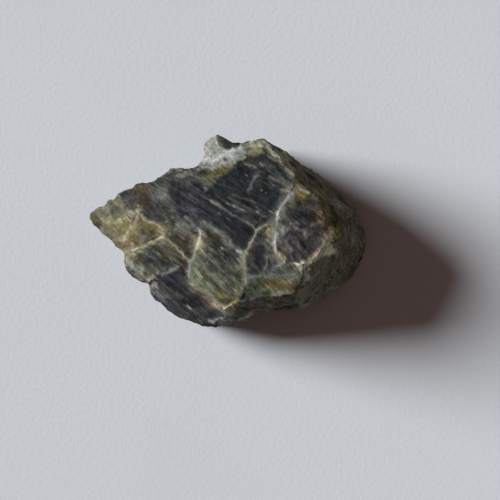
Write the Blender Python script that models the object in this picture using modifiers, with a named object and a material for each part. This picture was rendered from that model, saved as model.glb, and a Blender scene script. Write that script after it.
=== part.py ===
"""Raw star diopside: one broken, fibrous piece of crystal lying on its flat underside.

The stone is a thick cleaved flake, thin at its left tip and thickest right of the middle.
Its upper side is a set of nearly flat cleavage plates at slightly different heights and tilts,
its right and front sides slope down to the surface it lies on, a low pale lobe is grown to its
back edge, and its underside is undercut by cleavage planes all round a flat rest face.

Frame: metres, +Z up. +X runs along the length, away from the thin tip, and +Y runs to the side
that carries the lobe. The origin is the centre of the bounding box, on the rest face.
"""

import math

import bmesh
import bpy
import numpy as np

# ---------------------------------------------------------------- driving dimensions (metres)
LENGTH = 0.0300          # along X, thin tip to right flank
THICKNESS = 0.0105       # highest plate above the rest face
PLAN_UNITS = 275.0       # plan drawing units along the length; drawing U runs right, V runs down
PLAN_CENTRE = (228.0, 231.5)
PLATE_BLEND = 0.00018    # half width of the step between two plates
ROUGHNESS_BROAD = 0.00024   # broad unevenness of the broken sides
ROUGHNESS_FINE = 0.00009    # finer unevenness, drawn out along the fibres
FACET_SIZE = 0.0030      # broken facets of the sides, a little longer along the fibres
FACET_DEPTH = 0.00050
FIBRE_ANGLE = math.radians(-33.0)   # direction of the fibres in plan
UNDERCUT_DEPTH = 0.0004  # rough stone below the rest face, cut away to make it flat
CAGE_VOXEL = 0.00042
SKIN_VOXEL = 0.00030
TRIANGLES = 7400
SEED = 11

MM = 0.001
UNIT = LENGTH / PLAN_UNITS


def plan(u, v):
    """Plan drawing units to metres."""
    return (u - PLAN_CENTRE[0]) * UNIT, (PLAN_CENTRE[1] - v) * UNIT


# ---------------------------------------------------------------- outline in plan (drawing units)
OUTLINE = [
    # thin tip and the scalloped back-left edge
    (90.5, 218), (93, 213.5), (99.8, 208.4), (105.4, 205.3), (109.5, 201.2), (114.5, 200.2),
    (117.7, 195.6), (124, 191), (133, 189.3), (137, 185.2), (145.7, 184.1), (153, 181.6),
    (161.8, 178.4), (167, 174.6), (180.7, 172.2), (189, 170.5), (197, 167.2),
    # lobe
    (201.5, 161), (203.7, 154), (202.8, 147), (206, 142), (212, 138), (218.5, 136.4),
    (224, 139.4), (231, 142.4), (241.4, 145.6),
    # back rim
    (249, 144), (256, 143.2), (263.4, 140.7), (269, 145), (281, 152.8),
    # right flank
    (292, 160), (306, 168.5), (321, 178), (336, 189), (348, 202), (358, 216), (364, 230),
    (365.5, 246), (360, 262), (350, 277), (338, 287), (322, 296), (308, 302),
    # front edge
    (295, 304.5), (280, 307.5), (268, 311.5), (254, 317), (240, 323), (229, 326),
    (211, 326.7), (202, 325.5), (195, 323.2), (186.3, 319.8), (177, 315.2), (169, 310.6),
    (161, 303.7), (153, 298), (149.6, 290.5), (148.7, 286),
    # left plate and its notches
    (143.6, 283.7), (137, 279), (131.8, 274), (127, 268.5), (125.8, 262), (125.2, 256),
    (123.7, 252), (115, 247), (112, 240.8), (105.4, 234.9), (99.5, 230.2), (93.7, 225.7),
]

# ---------------------------------------------------------------- plates of the upper side
# Each plate: its edge in drawing units, and three points (u, v, height in mm) of its plane.
PLATES = {
    "tip": (
        [(85, 218), (100, 203), (110, 198), (120, 190), (129, 211), (138, 213), (131, 229),
         (123, 242), (112, 241), (98, 232)],
        [(92, 218, 3.2), (119, 198, 5.2), (124, 238, 4.8)],
    ),
    "slab_left": (
        [(118, 190), (133, 184), (152, 176), (172, 168), (184, 166), (174, 196), (180, 217),
         (160, 222), (147, 218), (139, 213), (129, 211)],
        [(122, 198, 5.3), (170, 178, 6.75), (172, 216, 6.95)],
    ),
    "slab_back": (
        [(184, 166), (197, 163), (209, 165), (232, 152), (250, 148), (262, 150), (275, 160),
         (290, 172), (293, 186), (284, 202), (277, 214), (276, 232), (268, 224), (257, 230),
         (234, 215), (214, 203), (200, 195), (176, 184)],
        [(184, 178, 7.2), (256, 152, 9.2), (264, 222, 9.97)],
    ),
    "slab_front": (
        [(176, 184), (200, 195), (214, 203), (234, 215), (257, 230), (250, 243), (244, 256),
         (234, 248), (222, 234), (209, 226), (202, 221), (190, 219), (180, 217), (174, 200)],
        [(180, 200, 7.2), (234, 222, 9.0), (244, 248, 9.35)],
    ),
    "wedge": (
        [(138, 213), (147, 219), (161, 228), (164, 237), (150, 244), (137, 250), (124, 253),
         (113, 247), (112, 241), (123, 242), (131, 229)],
        [(138, 213, 5.95), (164, 237, 6.5), (118, 247, 4.35)],
    ),
    "plate": (
        [(122, 252), (137, 250), (150, 244), (164, 237), (176, 247), (189, 263), (189, 276),
         (176, 268), (161, 276), (149, 286), (140, 290), (118, 272)],
        [(137, 250, 5.05), (189, 263, 6.4), (143, 284, 4.05)],
    ),
    "front_block": (
        [(149, 286), (161, 276), (176, 268), (189, 272), (190, 279), (194, 286), (202, 292),
         (214, 301), (222, 308), (230, 318), (230, 332), (205, 332), (170, 318), (142, 298)],
        [(170, 274, 5.4), (222, 311, 5.6), (172, 309, 3.6)],
    ),
    "tongue": (
        [(190, 264), (197, 260), (206, 270), (216, 281), (229, 293), (237, 301), (226, 309),
         (214, 301), (202, 292), (194, 286), (190, 277)],
        [(194, 263, 7.3), (234, 299, 8.0), (204, 290, 6.6)],
    ),
    "saddle": (
        [(164, 237), (161, 228), (178, 218), (190, 219), (200, 223), (200, 240), (195, 255),
         (189, 263), (176, 247)],
        [(166, 235, 6.6), (192, 226, 7.6), (189, 259, 6.8)],
    ),
    "middle": (
        [(200, 222), (209, 226), (222, 234), (234, 248), (244, 256), (245, 270), (244, 288),
         (240, 301), (229, 293), (216, 281), (206, 270), (196, 259), (200, 240)],
        [(202, 226, 8.0), (240, 256, 9.1), (232, 292, 8.5)],
    ),
    "pocket": (
        [(257, 230), (268, 224), (276, 232), (273, 245), (280, 258), (285, 264), (275, 269),
         (262, 274), (250, 277), (245, 270), (244, 256), (250, 243)],
        [(257, 233, 9.9), (275, 247, 9.93), (247, 272, 9.12)],
    ),
    "shoulder": (
        [(292, 188), (305, 190), (318, 200), (328, 214), (330, 233), (324, 247), (312, 261),
         (301, 265), (285, 264), (275, 251), (276, 232), (277, 214), (284, 202)],
        [(285, 203, 10.48), (278, 250, 10.05), (322, 226, 9.6)],
    ),
    "shoulder_edge": (
        [(300, 186), (318, 186), (334, 204), (341, 224), (339, 242), (330, 240), (330, 222),
         (322, 204)],
        [(285, 203, 10.48), (278, 250, 10.05), (322, 226, 9.6)],
    ),
    "front_band": (
        [(244, 280), (250, 277), (262, 274), (275, 269), (285, 264), (302, 265), (303, 278),
         (297, 290), (276, 292), (260, 297), (244, 301)],
        [(250, 277, 9.12), (285, 264, 9.72), (244, 300, 8.65)],
    ),
    "right_flank_back": (
        [(334, 204), (350, 196), (375, 222), (375, 234), (341, 226)],
        [(285, 203, 10.48), (278, 250, 10.05), (322, 226, 9.6)],
    ),
    "right_flank": (
        [(341, 226), (375, 234), (375, 262), (350, 282), (336, 262), (325, 246), (330, 240),
         (339, 242)],
        [(285, 203, 10.48), (278, 250, 10.05), (322, 226, 9.6)],
    ),
    "front_right_flank": (
        [(325, 246), (336, 262), (352, 282), (330, 305), (296, 312), (297, 290), (303, 278),
         (302, 265), (312, 261)],
        [(285, 203, 10.48), (278, 250, 10.05), (322, 226, 9.6)],
    ),
    "front_flank": (
        [(244, 301), (260, 297), (276, 292), (297, 290), (296, 312), (262, 322), (230, 332),
         (230, 318), (224, 309), (237, 301)],
        [(250, 277, 9.12), (285, 264, 9.72), (244, 300, 8.65)],
    ),
    "back_right_flank": (
        [(281, 150), (300, 158), (322, 172), (350, 196), (334, 204), (318, 187), (305, 188),
         (293, 186), (290, 170)],
        [(285, 203, 10.48), (278, 250, 10.05), (322, 226, 9.6)],
    ),
    "rim": (
        [(232, 152), (241, 142), (249, 138), (265, 136), (285, 151), (291, 170), (275, 160),
         (262, 149), (250, 148)],
        [(250, 149, 8.85), (291, 170, 10.2), (268, 138, 8.0)],
    ),
    "lobe": (
        [(197, 166), (200, 150), (203, 138), (217, 132), (218, 146), (228, 150), (240, 151),
         (232, 153), (209, 166)],
        [(205, 145, 4.7), (213, 139, 4.8), (222, 158, 6.1)],
    ),
    "lobe_cap": (
        [(217, 132), (232, 138), (244, 143), (240, 151), (228, 150), (218, 146)],
        [(218, 139, 5.7), (240, 147, 6.6), (226, 149, 6.1)],
    ),
}

# ---------------------------------------------------------------- planes that break off the right and front sides
# Each plane: three points (u, v, height in mm). The stone lies below all of them.
CUTS = [
    [(272, 147, 8.3), (293, 172, 9.3), (312, 166, 3.0)],    # back right, outside the ridge
    [(318, 200, 9.95), (326, 236, 9.45), (341, 222, 7.6)],   # bevel of the shoulder
    [(332, 210, 9.3), (331, 236, 9.2), (360, 216, 2.7)],    # right, its back part
    [(338, 240, 7.3), (365, 240, 2.5), (347, 277, 2.5)],    # right
    [(322, 250, 9.25), (301, 281, 9.2), (331, 285, 3.0)],    # front right
    [(244, 302, 8.55), (290, 294, 9.15), (256, 320, 4.3)],    # front
]

# ---------------------------------------------------------------- undercut planes of the underside
# Each plane: two points (u, v) on its line in the rest face, and a point (u, v, height in mm).
UNDERCUTS = [
    ((152, 185), (136, 262), (92, 219, 1.7)),      # below the thin tip
    ((128, 226), (232, 179), (160, 179, 1.9)),     # below the back-left edge and the lobe
    ((238, 172), (322, 208), (283, 154, 1.8)),     # below the back rim
    ((345, 200), (352, 262), (365, 240, 0.8)),     # below the right flank
    ((345, 262), (262, 301), (322, 296, 0.8)),     # below the front right flank
    ((262, 303), (188, 300), (228, 326, 1.1)),     # below the front edge
    ((216, 306), (138, 250), (162, 303, 1.3)),     # below the front block
]


class Noise:
    """Seeded smooth 3-D noise, about -1 to 1."""

    def __init__(self, seed):
        rng = np.random.default_rng(seed)
        self.table = np.tile(rng.permutation(256), 3)
        slope = rng.normal(size=(256, 3))
        self.slope = slope / np.linalg.norm(slope, axis=1)[:, None]

    def __call__(self, p):
        cell = np.floor(p).astype(np.int64)
        f = p - cell
        cell &= 255
        s = f * f * f * (f * (f * 6.0 - 15.0) + 10.0)
        out = np.zeros(len(p))
        for dx in (0, 1):
            for dy in (0, 1):
                for dz in (0, 1):
                    h = self.table[
                        self.table[self.table[(cell[:, 0] + dx) & 255] + ((cell[:, 1] + dy) & 255)]
                        + ((cell[:, 2] + dz) & 255)
                    ]
                    w = (
                        (s[:, 0] if dx else 1.0 - s[:, 0])
                        * (s[:, 1] if dy else 1.0 - s[:, 1])
                        * (s[:, 2] if dz else 1.0 - s[:, 2])
                    )
                    out += w * ((f - (dx, dy, dz)) * self.slope[h]).sum(1)
        return out * 1.6


class Facets:
    """Flat chips: every cell of a jittered 3-D grid has a tilt, a level and a soft edge of its own."""

    def __init__(self, seed, soft=0.07):
        rng = np.random.default_rng(seed)
        self.table = np.tile(rng.permutation(256), 3)
        self.place = rng.random((256, 3)) * 0.8 + 0.1
        tilt = rng.normal(size=(256, 3))
        self.tilt = tilt / np.linalg.norm(tilt, axis=1)[:, None]
        self.level = rng.random(256) * 2.0 - 1.0
        self.soft = soft

    def __call__(self, p):
        """Height, level of the cell, and nearness to its edge (0 on it)."""
        cell = np.floor(p).astype(np.int64)
        n = len(p)
        best, second = np.full(n, 1e3), np.full(n, 1e3)
        height, total, level = np.zeros(n), np.zeros(n), np.zeros(n)
        for dx in (-1, 0, 1):
            for dy in (-1, 0, 1):
                for dz in (-1, 0, 1):
                    c = cell + (dx, dy, dz)
                    k = c & 255
                    h = self.table[self.table[self.table[k[:, 0]] + k[:, 1]] + k[:, 2]]
                    away = p - (c + self.place[h])
                    d = np.sqrt((away * away).sum(1))
                    nearest = np.minimum(best, d)
                    old = np.exp((nearest - best) / self.soft)
                    new = np.exp((nearest - d) / self.soft)
                    here = (away * self.tilt[h]).sum(1) + 0.5 * self.level[h]
                    height = height * old + here * new
                    total = total * old + new
                    level = np.where(d < best, self.level[h], level)
                    second = np.where(d < best, best, np.minimum(second, d))
                    best = nearest
        return height / total, level, second - best


BROAD, FINE, WARP = Noise(SEED), Noise(SEED + 1), Noise(SEED + 2)
FACETS = Facets(SEED + 3)


def ease(a, b, x):
    """0 up to a, 1 from b on, and a smooth rise between them."""
    t = np.clip((x - a) / (b - a), 0.0, 1.0)
    return t * t * (3.0 - 2.0 * t)


def inside_distance(p, corners):
    """Signed distance of plan points to a polygon, positive inside (metres)."""
    poly = np.array([plan(u, v) for u, v in corners])
    a, b = poly, np.roll(poly, -1, axis=0)
    best = np.full(len(p), np.inf)
    inside = np.zeros(len(p), bool)
    for (ax, ay), (bx, by) in zip(a, b):
        ex, ey = bx - ax, by - ay
        wx, wy = p[:, 0] - ax, p[:, 1] - ay
        t = np.clip((wx * ex + wy * ey) / (ex * ex + ey * ey), 0.0, 1.0)
        best = np.minimum(best, (wx - t * ex) ** 2 + (wy - t * ey) ** 2)
        crosses = (ay > p[:, 1]) != (by > p[:, 1])
        if abs(ey) > 0.0:
            inside ^= crosses & (p[:, 0] < ax + (p[:, 1] - ay) * ex / ey)
    return np.where(inside, 1.0, -1.0) * np.sqrt(best)


def plane_height(points):
    """Coefficients of z = a x + b y + c through three (u, v, mm) points."""
    rows = np.array([[*plan(u, v), 1.0] for u, v, _ in points])
    return np.linalg.solve(rows, np.array([z * MM for _, _, z in points]))


def upper_height(p):
    """Height of the upper side over plan points: plates joined by short steps, below the cuts."""
    q = np.column_stack([p, np.zeros(len(p))]) / (1.4 * MM)
    bend = np.column_stack([WARP(q), WARP(q + 31.7)]) * 0.13 * MM
    w = p + bend
    edge = np.array([inside_distance(w, corners) for corners, _ in PLATES.values()])
    level = np.array(
        [w @ plane_height(pts)[:2] + plane_height(pts)[2] for _, pts in PLATES.values()]
    )
    weight = np.exp((edge - edge.max(0)) / (PLATE_BLEND * 0.5))
    height = (weight * level).sum(0) / weight.sum(0)
    for points in CUTS:
        a, b, c = plane_height(points)
        height = np.minimum(height, w[:, 0] * a + w[:, 1] * b + c)
    return height


def undercut_planes():
    planes = []
    for (u0, v0), (u1, v1), (u2, v2, z2) in UNDERCUTS:
        planes.append(plane_height([(u0, v0, 0.0), (u1, v1, 0.0), (u2, v2, z2)]))
    return planes


def lower_height(p):
    """Height of the underside over plan points: flat, then rising to the edges."""
    rise = np.zeros(len(p))
    for a, b, c in undercut_planes():
        rise = np.maximum(rise, p[:, 0] * a + p[:, 1] * b + c)
    return rise


def fibre_frame(p, stretch):
    """Points turned so that the first axis runs along the fibres, and shortened along it."""
    c, s = math.cos(FIBRE_ANGLE), math.sin(FIBRE_ANGLE)
    along = p[:, 0] * c + p[:, 1] * s
    across = -p[:, 0] * s + p[:, 1] * c
    return np.column_stack([along / stretch, across, p[:, 2]])


def shape_stone(co):
    """Moves the points of the straight prism onto the stone."""
    top = upper_height(co[:, :2])
    low = np.minimum(lower_height(co[:, :2]), top - 1.1 * MM)
    t = np.clip(co[:, 2] / THICKNESS, 0.0, 1.0)
    z = low - UNDERCUT_DEPTH * (1.0 - t) + t * (top - low)
    # the broken sides lean in towards the rest face, most at the back left
    cx, cy = plan(246, 234)
    x, y = co[:, 0] - cx, co[:, 1] - cy
    turn = np.arctan2(y, x)
    lean = 0.028 + 0.026 * np.cos(turn - math.radians(150.0))
    k = 1.0 - lean * (1.0 - t) ** 1.4
    out = np.column_stack([cx + x * k, cy + y * k, z])
    return out


def roughen(co, no):
    """Unevenness along the surface normals: fibres everywhere, broken facets on the sides."""
    broad = BROAD(co / (3.2 * MM)) + 0.5 * BROAD(co / (1.5 * MM) + 9.1)
    fine = FINE(fibre_frame(co, 4.0) / (0.9 * MM))
    side = 1.0 - 0.72 * np.clip(no[:, 2], 0.0, 1.0)
    step = ROUGHNESS_BROAD * side * broad + ROUGHNESS_FINE * fine
    # facets: below the rim all round, and on the right and front slopes
    depth = upper_height(co[:, :2]) - co[:, 2]
    below = ease(0.3 * MM, 1.8 * MM, depth)
    slope = ease(0.92, 0.65, no[:, 2]) * ease(plan(235, 0)[0], plan(290, 0)[0], co[:, 0])
    where = np.maximum(below, 0.55 * slope) * ease(-0.95, -0.6, no[:, 2])
    bent = fibre_frame(co, 1.5) / FACET_SIZE + 0.15 * BROAD(co / (1.1 * MM) + 3.3)[:, None]
    large = FACETS(bent)[0]
    small = FACETS(bent * 2.3 + 7.7)[0]
    step += FACET_DEPTH * where * (large + 0.4 * small)
    return co + no * step[:, None]


# ---------------------------------------------------------------- scene set-up
for old in list(bpy.data.objects):
    bpy.data.objects.remove(old, do_unlink=True)

stone_group = bpy.data.collections.new("raw_star_diopside")
bpy.context.scene.collection.children.link(stone_group)


def stone_material():
    mat = bpy.data.materials.new("diopside")
    mat.use_nodes = True
    shader = mat.node_tree.nodes["Principled BSDF"]
    shader.inputs["Base Color"].default_value = (0.050, 0.056, 0.048, 1.0)
    shader.inputs["Roughness"].default_value = 0.42
    shader.inputs["Metallic"].default_value = 0.0
    mat.diffuse_color = (0.17, 0.19, 0.16, 1.0)
    return mat


def outline_prism():
    """A straight prism on the outline, THICKNESS high, standing on z = 0."""
    flat = bpy.data.curves.new("outline", "CURVE")
    flat.dimensions = "2D"
    flat.fill_mode = "BOTH"
    flat.extrude = THICKNESS / 2.0
    line = flat.splines.new("POLY")
    line.points.add(len(OUTLINE) - 1)
    for point, (u, v) in zip(line.points, OUTLINE):
        x, y = plan(u, v)
        point.co = (x, y, 0.0, 1.0)
    line.use_cyclic_u = True
    carrier = bpy.data.objects.new("outline", flat)
    carrier.location.z = THICKNESS / 2.0
    bpy.context.scene.collection.objects.link(carrier)
    bpy.context.view_layer.update()
    depsgraph = bpy.context.evaluated_depsgraph_get()
    mesh = bpy.data.meshes.new_from_object(carrier.evaluated_get(depsgraph))
    mesh.transform(carrier.matrix_world)
    bpy.data.objects.remove(carrier, do_unlink=True)
    bm = bmesh.new()
    bm.from_mesh(mesh)
    bmesh.ops.remove_doubles(bm, verts=bm.verts, dist=1e-7)
    bmesh.ops.recalc_face_normals(bm, faces=bm.faces)
    bm.to_mesh(mesh)
    bm.free()
    return mesh


def with_modifier(mesh, kind, **settings):
    """The mesh as one modifier leaves it."""
    carrier = bpy.data.objects.new("carrier", mesh)
    bpy.context.scene.collection.objects.link(carrier)
    modifier = carrier.modifiers.new(kind.title(), kind)
    for name, value in settings.items():
        setattr(modifier, name, value)
    bpy.context.view_layer.update()
    depsgraph = bpy.context.evaluated_depsgraph_get()
    result = bpy.data.meshes.new_from_object(carrier.evaluated_get(depsgraph))
    bpy.data.objects.remove(carrier, do_unlink=True)
    return result


def read_points(mesh):
    n = len(mesh.vertices)
    co, no = np.empty(n * 3), np.empty(n * 3)
    mesh.vertices.foreach_get("co", co)
    mesh.vertices.foreach_get("normal", no)
    return co.reshape(n, 3), no.reshape(n, 3)


def write_points(mesh, co):
    mesh.vertices.foreach_set("co", co.ravel())
    mesh.update()


def cut_flat(mesh, height):
    """Cuts the mesh level at a height and closes it with one flat face."""
    bm = bmesh.new()
    bm.from_mesh(mesh)
    cut = bmesh.ops.bisect_plane(
        bm,
        geom=bm.verts[:] + bm.edges[:] + bm.faces[:],
        dist=1e-8,
        plane_co=(0.0, 0.0, height),
        plane_no=(0.0, 0.0, -1.0),
        clear_outer=True,
    )
    rim = [g for g in cut["geom_cut"] if isinstance(g, bmesh.types.BMEdge)]
    bmesh.ops.edgeloop_fill(bm, edges=rim)
    bmesh.ops.recalc_face_normals(bm, faces=bm.faces)
    bm.to_mesh(mesh)
    bm.free()


def build_stone():
    mesh = with_modifier(outline_prism(), "REMESH", mode="VOXEL", voxel_size=CAGE_VOXEL)
    co, _ = read_points(mesh)
    write_points(mesh, shape_stone(co))
    mesh = with_modifier(mesh, "REMESH", mode="VOXEL", voxel_size=SKIN_VOXEL)
    mesh = with_modifier(mesh, "SMOOTH", factor=0.4, iterations=1)
    co, no = read_points(mesh)
    write_points(mesh, roughen(co, no))
    mesh = with_modifier(mesh, "TRIANGULATE")
    mesh = with_modifier(mesh, "DECIMATE", ratio=min(1.0, TRIANGLES / len(mesh.polygons)))
    cut_flat(mesh, 0.0)

    # the origin goes to the centre of the bounding box, on the rest face
    co, _ = read_points(mesh)
    low, high = co.min(0), co.max(0)
    co[:, :2] -= (low[:2] + high[:2]) / 2.0
    co[:, 0] *= LENGTH / (high[0] - low[0])
    co[:, 2] *= THICKNESS / high[2]
    write_points(mesh, co)

    mesh.name = "diopside_stone"
    mesh.materials.clear()
    mesh.materials.append(stone_material())
    for face in mesh.polygons:
        face.use_smooth = False
    stone = bpy.data.objects.new("diopside_stone", mesh)
    stone_group.objects.link(stone)
    return stone


build_stone()
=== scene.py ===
import math

import bmesh
import bpy
import numpy as np
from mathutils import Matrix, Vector


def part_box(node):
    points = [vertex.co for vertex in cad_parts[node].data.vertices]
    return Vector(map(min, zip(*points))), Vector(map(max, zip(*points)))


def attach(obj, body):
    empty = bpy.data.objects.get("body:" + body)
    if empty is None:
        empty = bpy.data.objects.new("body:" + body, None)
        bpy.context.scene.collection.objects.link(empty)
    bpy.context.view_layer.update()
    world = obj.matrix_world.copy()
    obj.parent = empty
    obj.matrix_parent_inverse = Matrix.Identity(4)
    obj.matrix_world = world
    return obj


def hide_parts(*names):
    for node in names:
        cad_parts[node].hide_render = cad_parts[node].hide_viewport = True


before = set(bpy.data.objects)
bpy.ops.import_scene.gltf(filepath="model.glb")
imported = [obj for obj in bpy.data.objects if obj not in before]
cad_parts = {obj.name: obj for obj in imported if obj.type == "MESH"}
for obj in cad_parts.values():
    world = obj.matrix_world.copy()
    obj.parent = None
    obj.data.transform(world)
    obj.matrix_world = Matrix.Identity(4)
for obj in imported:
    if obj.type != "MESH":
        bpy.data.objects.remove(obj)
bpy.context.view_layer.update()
CAD_LOW, CAD_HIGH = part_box("diopside_stone")

# ---------------------------------------------------------------- sizes (metres)
LENGTH = 0.0300
THICKNESS = 0.0105
PLAN_UNITS = 275.0
PLAN_CENTRE = (228.0, 231.5)
UNIT = LENGTH / PLAN_UNITS
MM = 0.001
PLATE_BLEND = 0.00012
ROUGHNESS_BROAD = 0.00024
ROUGHNESS_FINE = 0.00009
FACET_SIZE = 0.0030
FACET_DEPTH = 0.00050
FIBRE_ANGLE = math.radians(-33.0)
UNDERCUT_DEPTH = 0.0004
CAGE_VOXEL = 0.00012
SKIN_VOXEL = 0.000106
FACES = 190000
SEED = 11
STREAKS = 1000
SIDE_DEPTH = 1.0


def plan(u, v):
    """Plan drawing units to metres: U runs to +X, V runs to -Y."""
    return (u - PLAN_CENTRE[0]) * UNIT, (PLAN_CENTRE[1] - v) * UNIT


# ---------------------------------------------------------------- form of the stone, as in the CAD solid
OUTLINE = [
    # thin tip and the scalloped back-left edge
    (90.5, 218), (93, 213.5), (99.8, 208.4), (105.4, 205.3), (109.5, 201.2), (114.5, 200.2),
    (117.7, 195.6), (124, 191), (133, 189.3), (137, 185.2), (145.7, 184.1), (153, 181.6),
    (161.8, 178.4), (167, 174.6), (180.7, 172.2), (189, 170.5), (197, 167.2),
    # lobe
    (201.5, 161), (203.7, 154), (202.8, 147), (206, 142), (212, 138), (218.5, 136.4),
    (224, 139.4), (231, 142.4), (241.4, 145.6),
    # back rim
    (249, 144), (256, 143.2), (263.4, 140.7), (269, 145), (281, 152.8),
    # right flank
    (292, 160), (306, 168.5), (321, 178), (336, 189), (348, 202), (358, 216), (364, 230),
    (365.5, 246), (360, 262), (350, 277), (338, 287), (322, 296), (308, 302),
    # front edge
    (295, 304.5), (280, 307.5), (268, 311.5), (254, 317), (240, 323), (229, 326),
    (211, 326.7), (202, 325.5), (195, 323.2), (186.3, 319.8), (177, 315.2), (169, 310.6),
    (161, 303.7), (153, 298), (149.6, 290.5), (148.7, 286),
    # left plate and its notches
    (143.6, 283.7), (137, 279), (131.8, 274), (127, 268.5), (125.8, 262), (125.2, 256),
    (123.7, 252), (115, 247), (112, 240.8), (105.4, 234.9), (99.5, 230.2), (93.7, 225.7),
]

# ---------------------------------------------------------------- plates of the upper side
# Each plate: its edge in drawing units, and three points (u, v, height in mm) of its plane.
PLATES = {
    "tip": (
        [(85, 218), (100, 203), (110, 198), (120, 190), (129, 211), (138, 213), (131, 229),
         (123, 242), (112, 241), (98, 232)],
        [(92, 218, 3.2), (119, 198, 5.2), (124, 238, 4.8)],
    ),
    "slab_left": (
        [(118, 190), (133, 184), (152, 176), (172, 168), (184, 166), (174, 196), (180, 217),
         (160, 222), (147, 218), (139, 213), (129, 211)],
        [(122, 198, 5.3), (170, 178, 6.75), (172, 216, 6.95)],
    ),
    "slab_back": (
        [(184, 166), (197, 163), (209, 165), (232, 152), (250, 148), (262, 150), (275, 160),
         (290, 172), (293, 186), (284, 202), (277, 214), (276, 232), (268, 224), (257, 230),
         (234, 215), (214, 203), (200, 195), (176, 184)],
        [(184, 178, 7.2), (256, 152, 9.2), (264, 222, 9.97)],
    ),
    "slab_front": (
        [(176, 184), (200, 195), (214, 203), (234, 215), (257, 230), (250, 243), (244, 256),
         (234, 248), (222, 234), (209, 226), (202, 221), (190, 219), (180, 217), (174, 200)],
        [(180, 200, 7.2), (234, 222, 9.0), (244, 248, 9.35)],
    ),
    "wedge": (
        [(138, 213), (147, 219), (161, 228), (164, 237), (150, 244), (137, 250), (124, 253),
         (113, 247), (112, 241), (123, 242), (131, 229)],
        [(138, 213, 5.95), (164, 237, 6.5), (118, 247, 4.35)],
    ),
    "plate": (
        [(122, 252), (137, 250), (150, 244), (164, 237), (176, 247), (189, 263), (189, 276),
         (176, 268), (161, 276), (149, 286), (140, 290), (118, 272)],
        [(137, 250, 5.05), (189, 263, 6.4), (143, 284, 4.05)],
    ),
    "front_block": (
        [(149, 286), (161, 276), (176, 268), (189, 272), (190, 279), (194, 286), (202, 292),
         (214, 301), (222, 308), (230, 318), (230, 332), (205, 332), (170, 318), (142, 298)],
        [(170, 274, 5.4), (222, 311, 5.6), (172, 309, 3.6)],
    ),
    "tongue": (
        [(190, 264), (197, 260), (206, 270), (216, 281), (229, 293), (237, 301), (226, 309),
         (214, 301), (202, 292), (194, 286), (190, 277)],
        [(194, 263, 7.3), (234, 299, 8.0), (204, 290, 6.6)],
    ),
    "saddle": (
        [(164, 237), (161, 228), (178, 218), (190, 219), (200, 223), (200, 240), (195, 255),
         (189, 263), (176, 247)],
        [(166, 235, 6.6), (192, 226, 7.6), (189, 259, 6.8)],
    ),
    "middle": (
        [(200, 222), (209, 226), (222, 234), (234, 248), (244, 256), (245, 270), (244, 288),
         (240, 301), (229, 293), (216, 281), (206, 270), (196, 259), (200, 240)],
        [(202, 226, 8.0), (240, 256, 9.1), (232, 292, 8.5)],
    ),
    "pocket": (
        [(257, 230), (268, 224), (276, 232), (273, 245), (280, 258), (285, 264), (275, 269),
         (262, 274), (250, 277), (245, 270), (244, 256), (250, 243)],
        [(257, 233, 9.9), (275, 247, 9.93), (247, 272, 9.12)],
    ),
    "shoulder": (
        [(292, 188), (305, 190), (318, 200), (328, 214), (330, 233), (324, 247), (312, 261),
         (301, 265), (285, 264), (275, 251), (276, 232), (277, 214), (284, 202)],
        [(285, 203, 10.48), (278, 250, 10.05), (322, 226, 9.6)],
    ),
    "shoulder_edge": (
        [(300, 186), (318, 186), (334, 204), (341, 224), (339, 242), (330, 240), (330, 222),
         (322, 204)],
        [(285, 203, 10.48), (278, 250, 10.05), (322, 226, 9.6)],
    ),
    "front_band": (
        [(244, 280), (250, 277), (262, 274), (275, 269), (285, 264), (302, 265), (303, 278),
         (297, 290), (276, 292), (260, 297), (244, 301)],
        [(250, 277, 9.12), (285, 264, 9.72), (244, 300, 8.65)],
    ),
    "right_flank_back": (
        [(334, 204), (350, 196), (375, 222), (375, 234), (341, 226)],
        [(285, 203, 10.48), (278, 250, 10.05), (322, 226, 9.6)],
    ),
    "right_flank": (
        [(341, 226), (375, 234), (375, 262), (350, 282), (336, 262), (325, 246), (330, 240),
         (339, 242)],
        [(285, 203, 10.48), (278, 250, 10.05), (322, 226, 9.6)],
    ),
    "front_right_flank": (
        [(325, 246), (336, 262), (352, 282), (330, 305), (296, 312), (297, 290), (303, 278),
         (302, 265), (312, 261)],
        [(285, 203, 10.48), (278, 250, 10.05), (322, 226, 9.6)],
    ),
    "front_flank": (
        [(244, 301), (260, 297), (276, 292), (297, 290), (296, 312), (262, 322), (230, 332),
         (230, 318), (224, 309), (237, 301)],
        [(250, 277, 9.12), (285, 264, 9.72), (244, 300, 8.65)],
    ),
    "back_right_flank": (
        [(281, 150), (300, 158), (322, 172), (350, 196), (334, 204), (318, 187), (305, 188),
         (293, 186), (290, 170)],
        [(285, 203, 10.48), (278, 250, 10.05), (322, 226, 9.6)],
    ),
    "rim": (
        [(232, 152), (241, 142), (249, 138), (265, 136), (285, 151), (291, 170), (275, 160),
         (262, 149), (250, 148)],
        [(250, 149, 8.85), (291, 170, 10.2), (268, 138, 8.0)],
    ),
    "lobe": (
        [(197, 166), (200, 150), (203, 138), (217, 132), (218, 146), (228, 150), (240, 151),
         (232, 153), (209, 166)],
        [(205, 145, 4.7), (213, 139, 4.8), (222, 158, 6.1)],
    ),
    "lobe_cap": (
        [(217, 132), (232, 138), (244, 143), (240, 151), (228, 150), (218, 146)],
        [(218, 139, 5.7), (240, 147, 6.6), (226, 149, 6.1)],
    ),
}

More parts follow.
